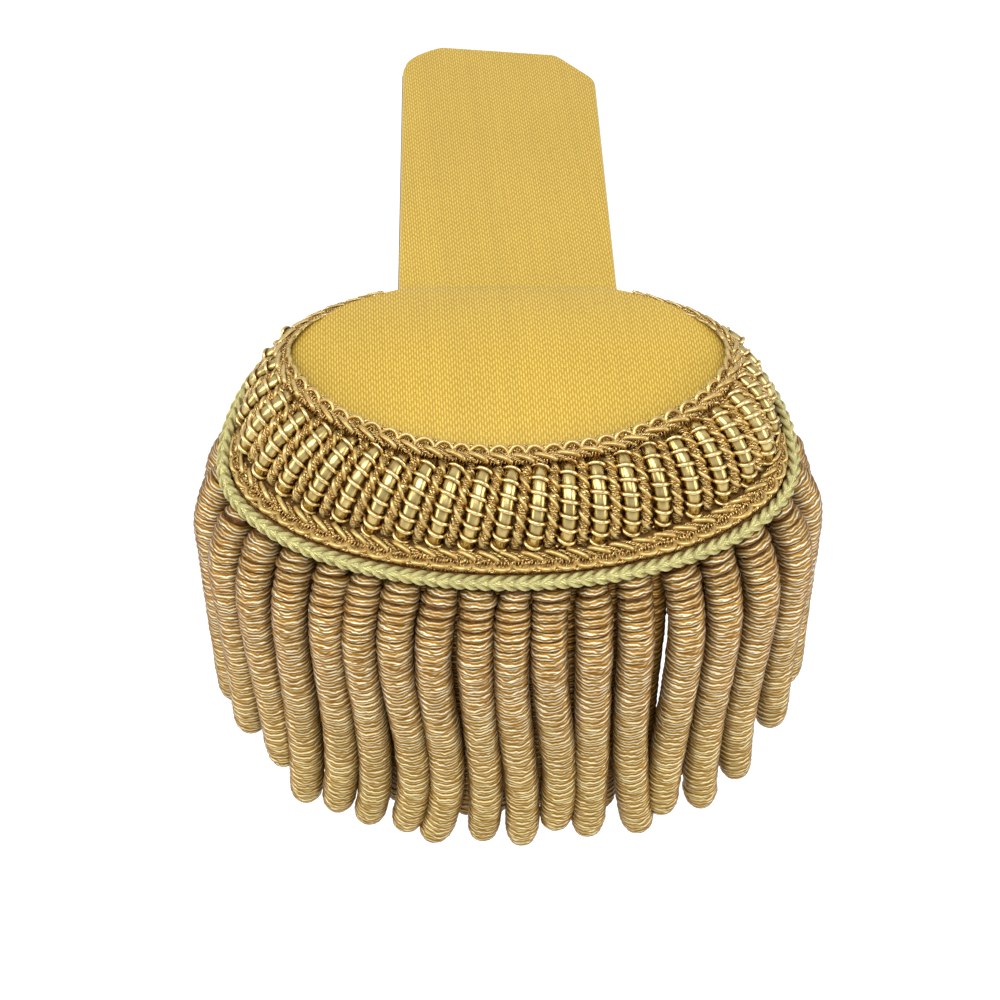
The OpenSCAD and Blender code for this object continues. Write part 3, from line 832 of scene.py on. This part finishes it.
rollForm = {
    "mid": 5.3, "radius": 12.65, "height": -0.8, "ribCount": 27, "ribRadius": 1.9,
    "ribShare": 0.4, "ribGap": 0.55, "ribRoom": 3.2, "endGap": 1.5,  # limits to a rib's radius
    "upperWidth": 6.0, "upperLeast": 3.2, "upperOver": 0.6, "twistRadius": 1.1,
    "ribOuter": 1.38, "wirePitch": 3.1, "wireShare": 0.31, "coreShare": 0.97,
    "twistOuter": 1.42, "twistPitch": 4.3, "twistSink": 0.3, "twistReach": 0.16,
    "twistCore": 0.8, "twistSpan": 1.05, "twistSmooth": 0.38, "twistRough": 0.28,
    "lay": -3.0,  # degrees round the rim that a rib drifts from its top to its foot
    "layKeep": 0.35,  # share of the way at which a rib keeps its own angle
    "footSlope": 7, "hornSlope": 27,  # degrees over the board where a rib ends, and more at a horn
    "padAngle": 84,  # slope at which the stuffed base ends, in degrees from its crown
    "padGap": 0.54, "padRim": 0.3, "padMargin": 0.4,
    "ribSeed": 3, "twistSeed": 5,
}


# The roll's middle, radius and height shrink together by one share towards the horns.
def rollMid(angle):
    return rollForm["mid"] * shareAt(angle)


def rollRadius(angle):
    return rollForm["radius"] * shareAt(angle)


def rollHeight(angle):
    return rollForm["height"] * shareAt(angle)


# width over the rim's outer side: a share of the full width, never below the least, less the overlap
def upperEdge(angle):
    f = rollForm
    return np.maximum(f["upperLeast"], f["upperWidth"] * shareAt(angle)) - f["upperOver"]


# flat point halfway from the roll's middle to its outer side
def crownAt(angle):
    return flatPoint(angle, rollMid(angle) + 0.5 * rollRadius(angle))


# flat point where a rib starts, halfway under the upper gimp
def startAt(angle):
    return flatPoint(angle, upperEdge(angle) * 0.5)


crownAngles = spread(boardForm["ribHorn"], 201)
crownRun = runAlong(crownAt(crownAngles))
ribPitch = (crownRun[-1] - 2 * rollForm["endGap"]) / (rollForm["ribCount"] - 1)
ribPlaces = rollForm["endGap"] + np.arange(rollForm["ribCount"]) * ribPitch
ribAngles = np.interp(ribPlaces, crownRun, crownAngles)
twistAngles = (ribAngles[1:] + ribAngles[:-1]) / 2


# least of three: the named radius, a share of the roll's, and what fits between neighbours
def ribRadius(angle):
    f = rollForm
    near = np.linalg.norm(startAt(angle + 1) - startAt(angle - 1), axis=-1)
    crown = np.linalg.norm(crownAt(angle + 1) - crownAt(angle - 1), axis=-1)
    room = (ribPitch * near / crown - f["ribGap"]) / f["ribRoom"]
    return np.minimum(np.minimum(f["ribRadius"], f["ribShare"] * rollRadius(angle)), room)


# Arc over the roll at one angle: points of a helix of the given radius round the arc, with the
# share of the way, its turns, its first turn and how far its outer side is drawn out along the
# arc, in turns; also the directions that go with it.
def overRoll(angle, helix, turns, phase, rows, sink=0.0, reach=0.0):
    f = rollForm
    s = np.linspace(0, 1, rows)
    turn = 2 * math.pi * (turns * s + phase)
    s = np.clip(s + reach * np.sin(turn) / max(turns, 1), 0, 1)
    a = angle + f["lay"] * (s - f["layKeep"])
    radius = rollRadius(a)
    back = np.clip((rollMid(a) - upperEdge(a) * 0.5) / radius, -1, 1)
    high = np.degrees(np.arcsin(back)) + 90
    low = f["footSlope"] + f["hornSlope"] * tuckAt(a)
    slope = np.radians(high + (low - high) * s)[:, None]
    out = withHeight(outAt(a))
    up = np.array([0, 0, 1.0])
    radial = np.cos(slope) * out + np.sin(slope) * up
    aside = np.stack([-out[:, 1], out[:, 0], out[:, 2]], -1)
    radius = radius - sink
    ring = np.cos(turn)[:, None] * radial + np.sin(turn)[:, None] * aside
    centre = boardPoint(a, rollMid(a), rollHeight(a)) + radius[:, None] * radial
    length = radius * np.radians(high - low)
    path = toPart(centre + helix * ring)
    return path, turnToPart(ring), length * s, turnToPart(aside), turnToPart(radial)


# Purl rib: a core along the arc and a wire wound round it.
def makeRibs():
    f = rollForm
    radii = ribRadius(ribAngles)
    wobble = np.random.default_rng(f["ribSeed"]).uniform(0, 1, len(radii))
    for i, (angle, r) in enumerate(zip(ribAngles, radii)):
        centre, _, run, aside, radial = overRoll(angle, 0, 0, 0, 30)
        shift = (wobble[i] - 0.25 + 13 * i) * f["wirePitch"]
        thick = f["coreShare"] * r
        core = tubeRound(centre, aside, radial, thick, thick, 18, run + shift)
        wireR = f["wireShare"] * r
        turns = run[-1] / f["wirePitch"]
        path, ring, wireRun, _, _ = overRoll(
            angle, f["ribOuter"] * r - wireR, turns, wobble[i], int(turns * 18)
        )
        wire = roundTube(path, ring, wireR, 8, wireRun * 4 + 83 * i)
        name = f"rib{i + 1:02d}"
        makePiece(name, [core], materials["ribCore"], [f"rib_{i + 1:02d}"])
        makePiece(name + "Wire", [wire], materials["ribWire"])


# Thin twist: a rough wound core with a smooth strand and a thinner rough one round it.
def makeTwists():
    f = rollForm
    radii = f["twistRadius"] * f["twistOuter"] * ribRadius(twistAngles) / f["ribRadius"]
    smooth, rough = [], []
    phases = np.random.default_rng(f["twistSeed"]).uniform(0, 1, len(radii))
    for angle, r, phase in zip(twistAngles, radii, phases):
        centre, _, run, aside, radial = overRoll(angle, 0, 0, 0, 30, f["twistSink"])
        turns = run[-1] / f["twistPitch"]
        core = f["twistCore"] * r
        rough.append(tubeRound(centre, aside, radial, core, core, 12, run))
        for store, shift, thick in ((smooth, 0.0, f["twistSmooth"]), (rough, 0.5, f["twistRough"])):
            path, ring, strandRun, _, _ = overRoll(
                angle, r * (f["twistSpan"] - thick), turns, phase + shift,
                int(turns * 16), f["twistSink"], f["twistReach"],
            )
            store.append(roundTube(path, ring, r * thick, 8, strandRun))
    makePiece("thinTwistsSmooth", smooth, materials["gimpSmooth"], ["thin_twists"])
    makePiece("thinTwistsRough", rough, materials["gimpRough"])


# the stuffed base: a ring of points for each angle, from the margin over the arc to the rim
def makePad():
    f = rollForm
    a = spread(boardForm["ribHorn"], 121)[:, None]
    column = a[:, 0]
    mid, r = rollMid(a), rollRadius(a) - ribRadius(column)[:, None] - f["padGap"]
    start = -np.degrees(np.arcsin(np.clip((mid - f["padRim"]) / r, -1, 1)))
    margin = (edgeOut(column) - cordRoom(column))[:, None]
    footAngle = f["padAngle"]
    foot = np.minimum(mid + r * math.sin(math.radians(footAngle)), margin - f["padMargin"])
    share = np.linspace(1, 0, 22)
    slope = np.radians(start + (footAngle - start) * share)
    arcOut = np.minimum(mid + r * np.sin(slope), foot)
    arcUp = np.maximum(rollHeight(a) + r * np.cos(slope), 0.1 * (1 + share))
    none, base = 0 * foot, 0 * foot + clothForm["base"]
    out = np.concatenate([margin, margin, foot + f["padMargin"] / 2, arcOut, none + f["padRim"]], 1)
    high = np.concatenate([base, none, none, arcUp, base], 1)
    grid = toPart(boardPoint(a, out, high))
    makePiece("rollPad", [closedSurface(grid)], materials["pad"], ["roll_pad"])


print("roll")
makePad()
makeRibs()
makeTwists()


# Gimp braids

# Each row of links or beds is one strand, with the values that strandColumns names.
gimpForm = {
    "upperEnd": 144.0, "lowerEnd": 79.0,  # angles where the two braids stop
    "upperWidth": 4.6,
    "fade": 36,  # degrees before its end over which the upper braid narrows
    "upperFall": 1.4, "upperThick": 2.0, "upperIn": -1.0, "upperOut": -0.6, "clothClear": 0.2,
    "lowerIn": 0.7, "lowerOver": 0.9, "lowerLeast": 1.4, "lowerHeights": (1.25, 1.0),
    "link": 5.2,  # length of one link, and the unit of the pitches below
    "upperLinks": [
        [-1.35, 0.7, 0.4, 0.6, 180, 0, 0.82, 0.6, 0.13, 0, 16, 8],
        [0.85, 0.8, 0.45, 0.65, -90, 0.35, 1, 0.6, 0.15, 0.05, 16, 8],
    ],
    "upperRough": 0.5,
    "upperBeds": [
        [-0.3, 0.5, 0, 0.4, 90, 0.6, 0.73, 0.42, 0, 0, 16, 8],
        [0, 0.1, -0.6, 0.05, 0, 0, 1, 1.3, 0, 0, 8, 8],
    ],
    "lowerLinks": [
        [-1.6, 0.95, 0.45, 0.7, -90, 0, 1, 0.64, 0.15, 0.05, 16, 8],
        [1.25, 0.85, 0.4, 0.6, 0, 0.3, 0.92, 0.64, 0.14, 0, 16, 8],
    ],
    "lowerRough": 0.52,
    "lowerBeds": [
        [-0.3, 0.5, 0.1, 0.4, 90, 0.6, 0.73, 0.42, 0, 0, 16, 8],
        [-1.3, 0.1, -0.7, 0.05, 0, 0, 1, 1.3, 0, 0, 8, 8],
        [1.1, 0.1, -0.7, 0.05, 0, 0, 1, 1.3, 0, 0, 8, 8],
    ],
    "upperWires": (-0.5, 1.3), "lowerWires": (-0.2, 1.7),  # middles of the fine wire coils
    "wirePitch": 0.78, "wireRadius": 0.11,
    "roughShift": 0.5, "roughLow": 0.35,  # the rough links start half a turn on and lie lower
    "drift": 0.4, "widen": 0.18, "rise": 0.15,  # how uneven the links are
    "upperSeed": 11, "lowerSeed": 21,
}
strandColumns = (
    "middle", "swing", "lift", "wave", "roll", "phase", "pitch", "radius", "reach", "drawn",
    "steps", "sides",
)


# A band's middle line with its own directions, across it and up from it, and its half width.
def bandLine(angles, inner, outer, innerZ, outerZ):
    near = toPart(boardPoint(angles, inner, innerZ))
    far = toPart(boardPoint(angles, outer, outerZ))
    middle = (near + far) / 2
    across = unit(far - near)
    up = unit(np.cross(np.gradient(middle, axis=0), across))
    up = up * np.sign(up[:, 2:3])
    return middle, across, up, np.linalg.norm(far - near, axis=1) / 2


# Strands of a braid. Each swings across the band by a cosine and rises and falls by the cosine of
# the same turn less its roll: a roll of 90 degrees gives slanting links, 0 or 180 gives arches.
# Along the band it gains and loses by a sine of twice the turn, which hooks the links' ends, and by
# the sine of the turn less its roll, which makes a link's upper side longer than its hidden side.
def braidStrands(line, rows, unitLength, seed):
    f = gimpForm
    middle, across, up, half = line
    run = runAlong(middle)
    surfaces = []
    rng = np.random.default_rng(seed)
    for row in rows:
        strand = dict(zip(strandColumns, row))
        pitch = unitLength * strand["pitch"]
        turns = run[-1] / pitch
        turn = np.linspace(0, turns, int(turns * strand["steps"]))
        knots = int(turns) + 2
        uneven = rng.normal(0, 1, (3, knots))
        drift, widen, rise = (np.interp(turn, np.arange(knots), u) for u in uneven)
        angle = 2 * math.pi * (turn + strand["phase"]) + f["drift"] * drift
        roll = math.radians(strand["roll"])
        gain = strand["reach"] * np.sin(angle - roll) - strand["drawn"] * np.sin(2 * angle)
        place = np.clip((turn + gain) * pitch, 0, run[-1])
        swing = strand["swing"] * (1 + f["widen"] * widen) * np.cos(angle) + strand["middle"]
        lift = strand["wave"] * (1 + f["rise"] * rise) * np.cos(angle - roll) + strand["lift"]
        narrow = np.interp(place, run, half / half[len(half) // 2])
        acrossHere, upHere = readAlong(place, run, across), readAlong(place, run, up)
        path = readAlong(place, run, middle)
        path = path + acrossHere * (swing * narrow)[:, None] + upHere * (lift * narrow)[:, None]
        hold = unit(upHere + acrossHere * 0.12)
        radius = strand["radius"] * np.clip(narrow, 0.45, 1.1)
        surfaces.append(roundTube(path, hold, radius, strand["sides"], runAlong(path)))
    return surfaces


# One braid: its smooth links, the same links again in rough strand, the beds under them and the
# fine wires coiled along it.
def makeBraid(side, line):
    f = gimpForm
    links, beds, seed = f[side + "Links"], f[side + "Beds"], f[side + "Seed"]
    lower = []
    for row in links:
        low = list(row)
        low[2] -= f["roughLow"]
        low[5] += f["roughShift"]
        low[7] = f[side + "Rough"]
        lower.append(low)
    smooth = braidStrands(line, links, f["link"], seed)
    rough = braidStrands(line, lower, f["link"], seed)
    rough += braidStrands(line, beds, f["link"], seed + 3)
    wireRows = [
        [m, 0.7, -0.1, 0.7, 90, 0.3, f["wirePitch"], f["wireRadius"], 0, 0, 9, 4]
        for m in f[side + "Wires"]
    ]
    wires = braidStrands(line, wireRows, 1.0, seed + 4)
    name = side + "Gimp"
    makePiece(name + "Smooth", smooth, materials["gimpSmooth"], [side + "_gimp"])
    makePiece(name + "Rough", rough, materials["gimpRough"])
    makePiece(name + "Wire", wires, materials["gimpWire"])


# The upper braid lies on the cloth's edge against the ribs, the lower one between them and the cord.
def makeGimps():
    f = gimpForm
    a = spread(f["upperEnd"], 261)
    fade = np.clip((f["upperEnd"] - np.abs(a)) / f["fade"], 0, 1)
    clothRim = fieldHeight(rimAt(a)[:, 0], rimAt(a)[:, 1])
    top = np.maximum(rollHeight(a) + rollRadius(a) + ribRadius(a), clothRim + f["clothClear"])
    top = top - f["upperFall"] * (1 - fade)
    thick = f["upperThick"] * np.clip(shareAt(a) * 1.2, 0.5, 1)
    outer = f["upperOut"] + f["upperWidth"] * np.clip(shareAt(a) * 2.2, 0.6, 1) * (0.4 + 0.6 * fade)
    makeBraid("upper", bandLine(a, f["upperIn"], outer, top + thick * 0.2, top + thick * 0.45))

    a = spread(f["lowerEnd"], 201)
    foot = rollMid(a) + rollRadius(a) * math.cos(math.radians(rollForm["footSlope"])) + ribRadius(a)
    outer = np.maximum(edgeOut(a) - cordRoom(a) + f["lowerOver"], foot + f["lowerLeast"])
    makeBraid("lower", bandLine(a, foot - f["lowerIn"], outer, *f["lowerHeights"]))


print("braids")
makeGimps()


# Plaited edge cord and the fine coil under it

cordForm = {
    "tuckFrom": 104.0, "tuckOver": 24.0,  # the cord slips under the braid at the horns
    "tuckIn": 1.8, "tuckDown": 0.8,
    "lean": 38.0, "ropeOffset": 0.76, "ropeRadius": 0.5,
    "strand": 0.57, "plies": 2, "stitch": 3.0,
    "coreWidth": 1.1, "coreHeight": 0.7,
    "coilEnd": 127, "coilIn": 0.6, "coilDown": 2.25,
    "coilPitch": 0.85, "coilRadius": 0.42, "coilWire": 0.17, "coilCore": 0.32,
}


# Two ropes laid side by side and twisted opposite ways, so that their strands meet in a V.
def makeCord():
    f = cordForm
    a = spread(boardForm["hornEnd"], 261)
    under = smoothStep((np.abs(a) - f["tuckFrom"]) / f["tuckOver"])
    inward, downward = edgeOut(a) - f["tuckIn"] * under, edgeLow(a) - f["tuckDown"] * under
    middle = toPart(boardPoint(a, inward, downward))
    out3 = turnToPart(withHeight(outAt(a)))
    along = unit(np.gradient(middle, axis=0))
    out3 = unit(out3 - along * np.sum(out3 * along, -1, keepdims=True))
    up3 = np.cross(along, out3)
    up3 = up3 * np.sign(up3[:, 2:3])
    tip = math.radians(f["lean"])
    run = runAlong(middle)
    pitch = f["stitch"] * f["plies"]
    place = np.linspace(0, run[-1], int(run[-1] / pitch * 20))
    middle = readAlong(place, run, middle)
    face = readAlong(place, run, out3 * math.sin(tip) + up3 * math.cos(tip))
    across = readAlong(place, run, out3 * math.cos(tip) - up3 * math.sin(tip))
    surfaces = []
    for side in (-1, 1):
        for ply in range(f["plies"]):
            turn = (side * 2 * math.pi * (place / pitch + ply / f["plies"]))[:, None]
            ring = np.cos(turn) * face + np.sin(turn) * across
            path = middle + across * (side * f["ropeOffset"]) + ring * f["ropeRadius"]
            surfaces.append(roundTube(path, ring, f["strand"], 8, runAlong(path)))
    surfaces.append(tubeRound(middle, across, face, f["coreWidth"], f["coreHeight"], 8, place))
    makePiece("edgeCord", surfaces, materials["cord"], ["edge_cord"])


# A fine wire coiled round a core, under the cord.
def makeCoil():
    f = cordForm
    a = spread(f["coilEnd"], 241)
    middle = toPart(boardPoint(a, edgeOut(a) - f["coilIn"], edgeLow(a) - f["coilDown"]))
    run = runAlong(middle)
    place = np.linspace(0, run[-1], int(run[-1] / f["coilPitch"] * 9))
    middle = readAlong(place, run, middle)
    out3 = readAlong(place, run, unit(turnToPart(withHeight(outAt(a)))))
    up3 = turnToPart(np.array([[0, 0, 1.0]]))
    turn = (2 * math.pi * place / f["coilPitch"])[:, None]
    ring = np.cos(turn) * out3 + np.sin(turn) * up3
    path = middle + ring * f["coilRadius"]
    coil = roundTube(path, ring, f["coilWire"], 4, runAlong(path))
    core = tubeRound(middle, out3, up3, f["coilCore"], f["coilCore"], 5, place)
    makePiece("edgeCoil", [coil, core], materials["copperCoil"], ["edge_coil"])


makeCord()
makeCoil()


# Bullion fringe

fringeForm = {
    "rows": [
        # place along the fringe, sway at a third, at two thirds and at the tip, height of the tip
        [-116.5, -0.5, 0.5, 1, -89], [-108.2, 0.2, -0.4, -1, -92], [-99.7, 0, 0.6, 0.5, -92],
        [-91, 0.5, -0.5, 0.8, -96], [-81.6, 0, 0.6, 0, -100], [-70.5, -0.6, 1, 0.4, -97],
        [-61.5, -1, 1, 2.6, -101], [-52.4, -0.35, 0.2, -1.8, -113], [-42.5, -0.5, 0.4, -3, -112],
        [-34.2, -0.8, 0.8, -3, -114], [-25.2, -1, 1.7, -2.2, -114], [-15.6, -1.8, 0.3, -4.8, -117],
        [-7, -0.5, 1.2, 0.2, -115], [1.8, -0.9, 1.3, 1.6, -117], [10.5, -0.4, 2.2, 1.2, -111],
        [20.5, -0.2, 0.3, 0.1, -115], [30.5, -0.4, 0.4, 4.4, -117], [41.8, 0.6, -1, -1.8, -111],
        [51.6, 0.3, -1.2, 0.2, -114], [61.4, 0.5, -1.6, 0.6, -108], [72.4, 0.4, -1, 0.8, -98],
        [82.2, 0.5, -1.4, -4.6, -89], [91, -0.5, 0.4, -0.8, -95], [99.7, 0.1, -0.6, 0.6, -93],
        [108.2, 0, 0.5, 0.8, -91], [116.5, 0.5, -0.4, -1, -88],
    ],
    "radius": 4.1, "innerRadius": 3.6, "outerIn": 1.4, "innerIn": 7.4, "swell": 6.4,
    "innerSwell": 4.5, "radiusMore": 0.4,
    "swellAt": ((86, 100), (1, 0.5)),  # places between which the swell falls, and its shares there
    "innerRise": (1, 5), "innerSway": (-2, 2),  # ranges for the tips of the shaded row
    "hangOut": 3,  # distance outside the cord at which places along the fringe are measured
    "headLower": 0.2, "outLength": 0.25,  # shares of the radius and of the bullion's length
    "headingFar": 2.2, "headingNear": 3.4, "headingShare": 0.6, "headingClear": 1.2,
    "headDrop": 3.55, "headingHigh": 5.0, "headingReach": 2.4, "innerEnd": 90.0,
    "topPitch": 2.45, "tipPitch": 2.1, "strandDepth": 0.66, "flare": 0.4,
    "messyHead": 0.2, "messy": 0.05,  # how uneven the turns are at the head and all over
    "messyLength": 11, "messySwell": 0.45,
    "headWidth": 0.86, "headLength": 5.0,  # the winding is narrower over this length at its head
    "tipLength": 1.9, "tipPower": 1.8,  # tip's length in radii, and how blunt it is
    "tipThin": 0.35, "tipThinLength": 1.1,  # strand's least share of its size, and over what length
    "turnShare": 0.48,  # half the strand's height in pitches
    "seed": 8,
}

hangAngles = spread(boardForm["hornEnd"], 401)
hangLine = boardPoint(hangAngles, edgeOut(hangAngles) + fringeForm["hangOut"], 0.0)
hangLine = toPart(hangLine)[:, :2]
hangRun = runAlong(hangLine)
hangRun = hangRun - hangRun[len(hangRun) // 2]


# flat point of the cord's middle
def cordAt(angle):
    return flatPoint(angle, edgeOut(angle))


# angle at a distance along the fringe from the middle of its front
def hangAngle(place):
    return np.interp(place, hangRun, hangAngles)


# flat direction away from the board, square to the cord's slope over two millimetres
def fringeOut(place):
    t = cordAt(hangAngle(place + 1)) - cordAt(hangAngle(place - 1))
    return unit(np.stack([t[..., 1], -t[..., 0]], -1))


# head of a bullion: the cord's point, in by the inset and down by the drop
def headPoint(place, inset):
    place = np.asarray(place, float)
    angle = hangAngle(place)
    flat = cordAt(angle) - fringeOut(place) * np.asarray(inset, float)[..., None]
    height = edgeLow(angle) - boardForm["cordHeight"] - fringeForm["headDrop"]
    return toPart(np.concatenate([flat, height[..., None]], -1))


# sway at a share of the length: the cubic through nought and the three named sways
def swayAt(row, t):
    return (
        13.5 * t * (t - 2 / 3) * (t - 1) * row[1]
        - 13.5 * t * (t - 1 / 3) * (t - 1) * row[2]
        + 4.5 * t * (t - 1 / 3) * (t - 2 / 3) * row[3]
    )


# Middle line of one bullion: down from its head and out under the cord by a parabola
def bullionLine(row, inset, radius, outward, t):
    f = fringeForm
    place = np.array(row[0], float)
    head = headPoint(place, inset) - np.array([0, 0, radius * f["headLower"]])
    out = np.append(fringeOut(place), 0.0)
    aside = np.array([-out[1], out[0], 0.0])
    fall = (head[2] - row[4]) * t
    path = head + out * (outward * (1 - (1 - np.minimum(1, t / f["outLength"])) ** 2))[:, None]
    path = path + aside * swayAt(row, t)[:, None]
    path[:, 2] -= fall
    return path, out, aside


# One bullion: a flat strand wound in a helix, close at the tip and looser at the head, on a
# dark core that fills the coil with painted shade. Its winding radius closes in to a rounded tip, where
# the strand thins out too.
def makeBullion(row, inset, radius, outward, perTurn, sides, rng):
    f = fringeForm
    path, out, aside = bullionLine(row, inset, radius, outward, np.linspace(0, 1, 160))
    run = runAlong(path)
    pitch = f["topPitch"] + (f["tipPitch"] - f["topPitch"]) * smoothStep(run / run[-1] * 1.5)
    turns = np.concatenate([[0], np.cumsum(np.diff(run) * 2 / (pitch[1:] + pitch[:-1]))])
    turnFine = np.linspace(0, turns[-1], int(turns[-1] * perTurn))
    whole = np.arange(int(turns[-1]) + 2)
    slip, swell = (np.interp(turnFine, whole, u) for u in rng.normal(0, 1, (2, len(whole))))
    s = np.interp(turnFine, turns, run)
    messy = f["messy"] + f["messyHead"] * (1 - smoothStep(s / f["messyLength"]))
    s = np.clip(s + messy * slip * f["topPitch"], 0, run[-1])
    forward = unit(readAlong(s, run, unit(np.gradient(path, axis=0))))
    side = unit(np.cross(forward, out))
    front = np.cross(side, forward)
    depth = f["strandDepth"] * radius / f["radius"]
    endGap = (run[-1] - s) / radius
    close = np.sqrt(1 - np.clip(1 - endGap / f["tipLength"], 0, 1) ** f["tipPower"])
    taper = np.clip(f["tipThin"] + endGap / f["tipThinLength"], 0, 1)
    closeTop = f["headWidth"] + (1 - f["headWidth"]) * smoothStep(s / f["headLength"])
    uneven = 1 + f["messySwell"] * messy * swell
    wind = (radius - depth) * np.clip(close * closeTop * uneven, 0.06, 1.08)
    turn = turnFine * 2 * math.pi + math.pi
    ring = np.cos(turn)[:, None] * front + np.sin(turn)[:, None] * side
    centre = readAlong(s, run, path) + ring * wind[:, None]
    halfHigh = np.interp(s, run, pitch) * f["turnShare"] * taper
    flared = forward + ring * f["flare"]
    along = turnFine * 2 * math.pi * radius
    strand = tubeRound(centre, ring, flared, depth * taper, halfHigh, sides, along)
    # the dark core: painted shade inside the coil
    coreS = np.linspace(0, run[-1] * 0.985, 24)
    core = readAlong(coreS, run, path)
    coreR = np.interp(coreS, s, wind)
    forward = unit(np.gradient(core, axis=0))
    side = unit(np.cross(forward, out))
    return strand, tubeRound(core, side, np.cross(side, forward), coreR, coreR, 9, coreS)


# the woven head of one strip: a block between the middles of its front and its inner heads
def makeHeading(fromPlace, toPlace):
    f = fringeForm
    place = np.linspace(fromPlace, toPlace, 12)
    far = headPoint(place, f["outerIn"] + f["headingFar"])
    edge = edgeOut(hangAngle(place))
    middleIn = np.maximum(f["outerIn"] + f["headingNear"], edge * f["headingShare"])
    near = headPoint(place, np.minimum(f["innerIn"] - f["headingClear"], middleIn))
    drop = np.array([0, 0, -f["headingHigh"]])
    outer = [far + drop, far + drop * 0.5, far + 0.2 * drop, far]
    return closedSurface(np.stack(outer + [near, near + drop * 0.5, near + drop], 1), place)


# Strips of two front bullions each, with the shaded ones halfway between their neighbours behind, in a
# darker copy of the strand's colours that paints their shade.
def makeFringe():
    f = fringeForm
    rows = f["rows"]
    rng = np.random.default_rng(f["seed"])
    spans = np.gradient(np.array([row[0] for row in rows]))
    for i in range(len(rows) // 2):
        first, second = rows[2 * i], rows[2 * i + 1]
        strands, shaded, insides = [], [], []
        for row, span in zip((first, second), spans[2 * i :]):
            outward = f["swell"] * np.interp(abs(row[0]), *f["swellAt"])
            radius = np.clip(span / 2, f["radius"], f["radius"] + f["radiusMore"])
            strand, inside = makeBullion(row, f["outerIn"], radius, outward, 18, 8, rng)
            strands.append(strand)
            insides.append(inside)
        after = rows[2 * i + 2] if 2 * i + 2 < len(rows) else None
        for one, other in ((first, second), (second, after)):
            if other is None or abs(one[0] + other[0]) / 2 > f["innerEnd"]:
                continue
            tip = (one[4] + other[4]) / 2 + rng.uniform(*f["innerRise"])
            sway = rng.uniform(*f["innerSway"])
            inner = [(one[k] + other[k]) / 2 for k in range(3)] + [sway, tip]
            strand, inside = makeBullion(
                inner, f["innerIn"], f["innerRadius"], f["innerSwell"], 13, 6, rng
            )
            shaded.append(strand)
            insides.append(inside)
        name = f"fringe{i + 1:02d}"
        makePiece(name, strands, materials["fringe"], [f"fringe_{i + 1:02d}"])
        if shaded:
            makePiece(name + "Inner", shaded, materials["fringeInner"])
        reach = f["headingReach"]
        insides.append(makeHeading(first[0] - reach, second[0] + reach))
        # the dark cores are painted shade inside the coils, in the heading's colours
        makePiece(name + "Core", insides, materials["heading"])


print("fringe")
makeFringe()


# Floor, light and camera

studio = {
    "floorHeight": -0.4, "floorHalf": 4.0, "floor": colour(250, 250, 250), "glow": 0.2,
    "backdrop": colour(254, 254, 254),  # what the camera sees past the floor
    "sky": 0.86, "horizon": 0.74, "below": 0.5,
    "camera": (-0.00197, -0.3767, 0.3076), "pitch": 45.0, "lens": 70.2,
    "lights": {
        # place, target, width, depth and power
        "key": ((-0.12, -0.42, 0.62), (0, -0.04, -0.02), 0.95, 0.32, 4.5),
        "fillLeft": ((-0.55, -0.2, 0.12), (-0.04, -0.03, -0.06), 0.3, 0.4, 1.0),
        "fillRight": ((0.55, -0.2, 0.12), (0.04, -0.03, -0.06), 0.3, 0.4, 1.25),
    },
}


# a pale floor far under the object, which hangs clear of it
def makeFloor():
    mesh = bpy.data.meshes.new("floor")
    h, half = studio["floorHeight"], studio["floorHalf"]
    corners = [(-half, -half, h), (half, -half, h), (half, half, h), (-half, half, h)]
    mesh.from_pydata(corners, [], [(0, 1, 2, 3)])
    floor = bpy.data.objects.new("floor", mesh)
    bpy.context.scene.collection.objects.link(floor)
    material, tree, shader = newMaterial("paleFloor")
    setShader(shader, Base_Color=studio["floor"], Roughness=0.9)
    setShader(shader, Emission_Color=studio["floor"], Emission_Strength=studio["glow"])
    mesh.materials.append(material)


# A soft grey sky lights the object, and the camera sees the plain backdrop in its place.
def makeWorld():
    world = bpy.data.worlds.new("studio")
    bpy.context.scene.world = world
    world.use_nodes = True
    tree = world.node_tree
    high = partOf(tree, addNode(tree, "TexCoord").outputs["Generated"], "Z")
    ramp = addNode(tree, "ValToRGB", {0: scaled(tree, high, 0.5, 0.5)})
    below, sky, horizon = ((studio[key],) * 3 + (1,) for key in ("below", "sky", "horizon"))
    setRamp(ramp, (0.3, below), (0.9, sky), (0.55, horizon))
    seen = addNode(tree, "LightPath").outputs["Is Camera Ray"]
    shown = mixColours(tree, seen, ramp.outputs[0], studio["backdrop"])
    tree.links.new(shown, tree.nodes["Background"].inputs["Color"])


# an area light, turned so that it faces its target
def makeLight(name, place, target, width, depth, power):
    data = bpy.data.lights.new(name, "AREA")
    data.shape, data.size, data.size_y, data.energy = "RECTANGLE", width, depth, power
    light = bpy.data.objects.new(name, data)
    bpy.context.scene.collection.objects.link(light)
    light.location = place
    toward = np.array(target) - np.array(place)
    light.rotation_mode = "QUATERNION"
    light.rotation_quaternion = Vector(toward).to_track_quat("-Z", "Y")


# the photo's camera: its place, its angle below the level and its lens
def makeCamera():
    data = bpy.data.cameras.new("camera")
    data.lens, data.sensor_width = studio["lens"], 36.0
    data.clip_start, data.clip_end = 0.01, 20
    camera = bpy.data.objects.new("camera", data)
    camera.location = studio["camera"]
    camera.rotation_euler = (math.radians(90 - studio["pitch"]), 0, 0)
    bpy.context.scene.collection.objects.link(camera)
    bpy.context.scene.camera = camera


makeFloor()
makeWorld()
for lightName, values in studio["lights"].items():
    makeLight(lightName, *values)
makeCamera()
bpy.context.scene.view_settings.view_transform = "Standard"
print("studio set")
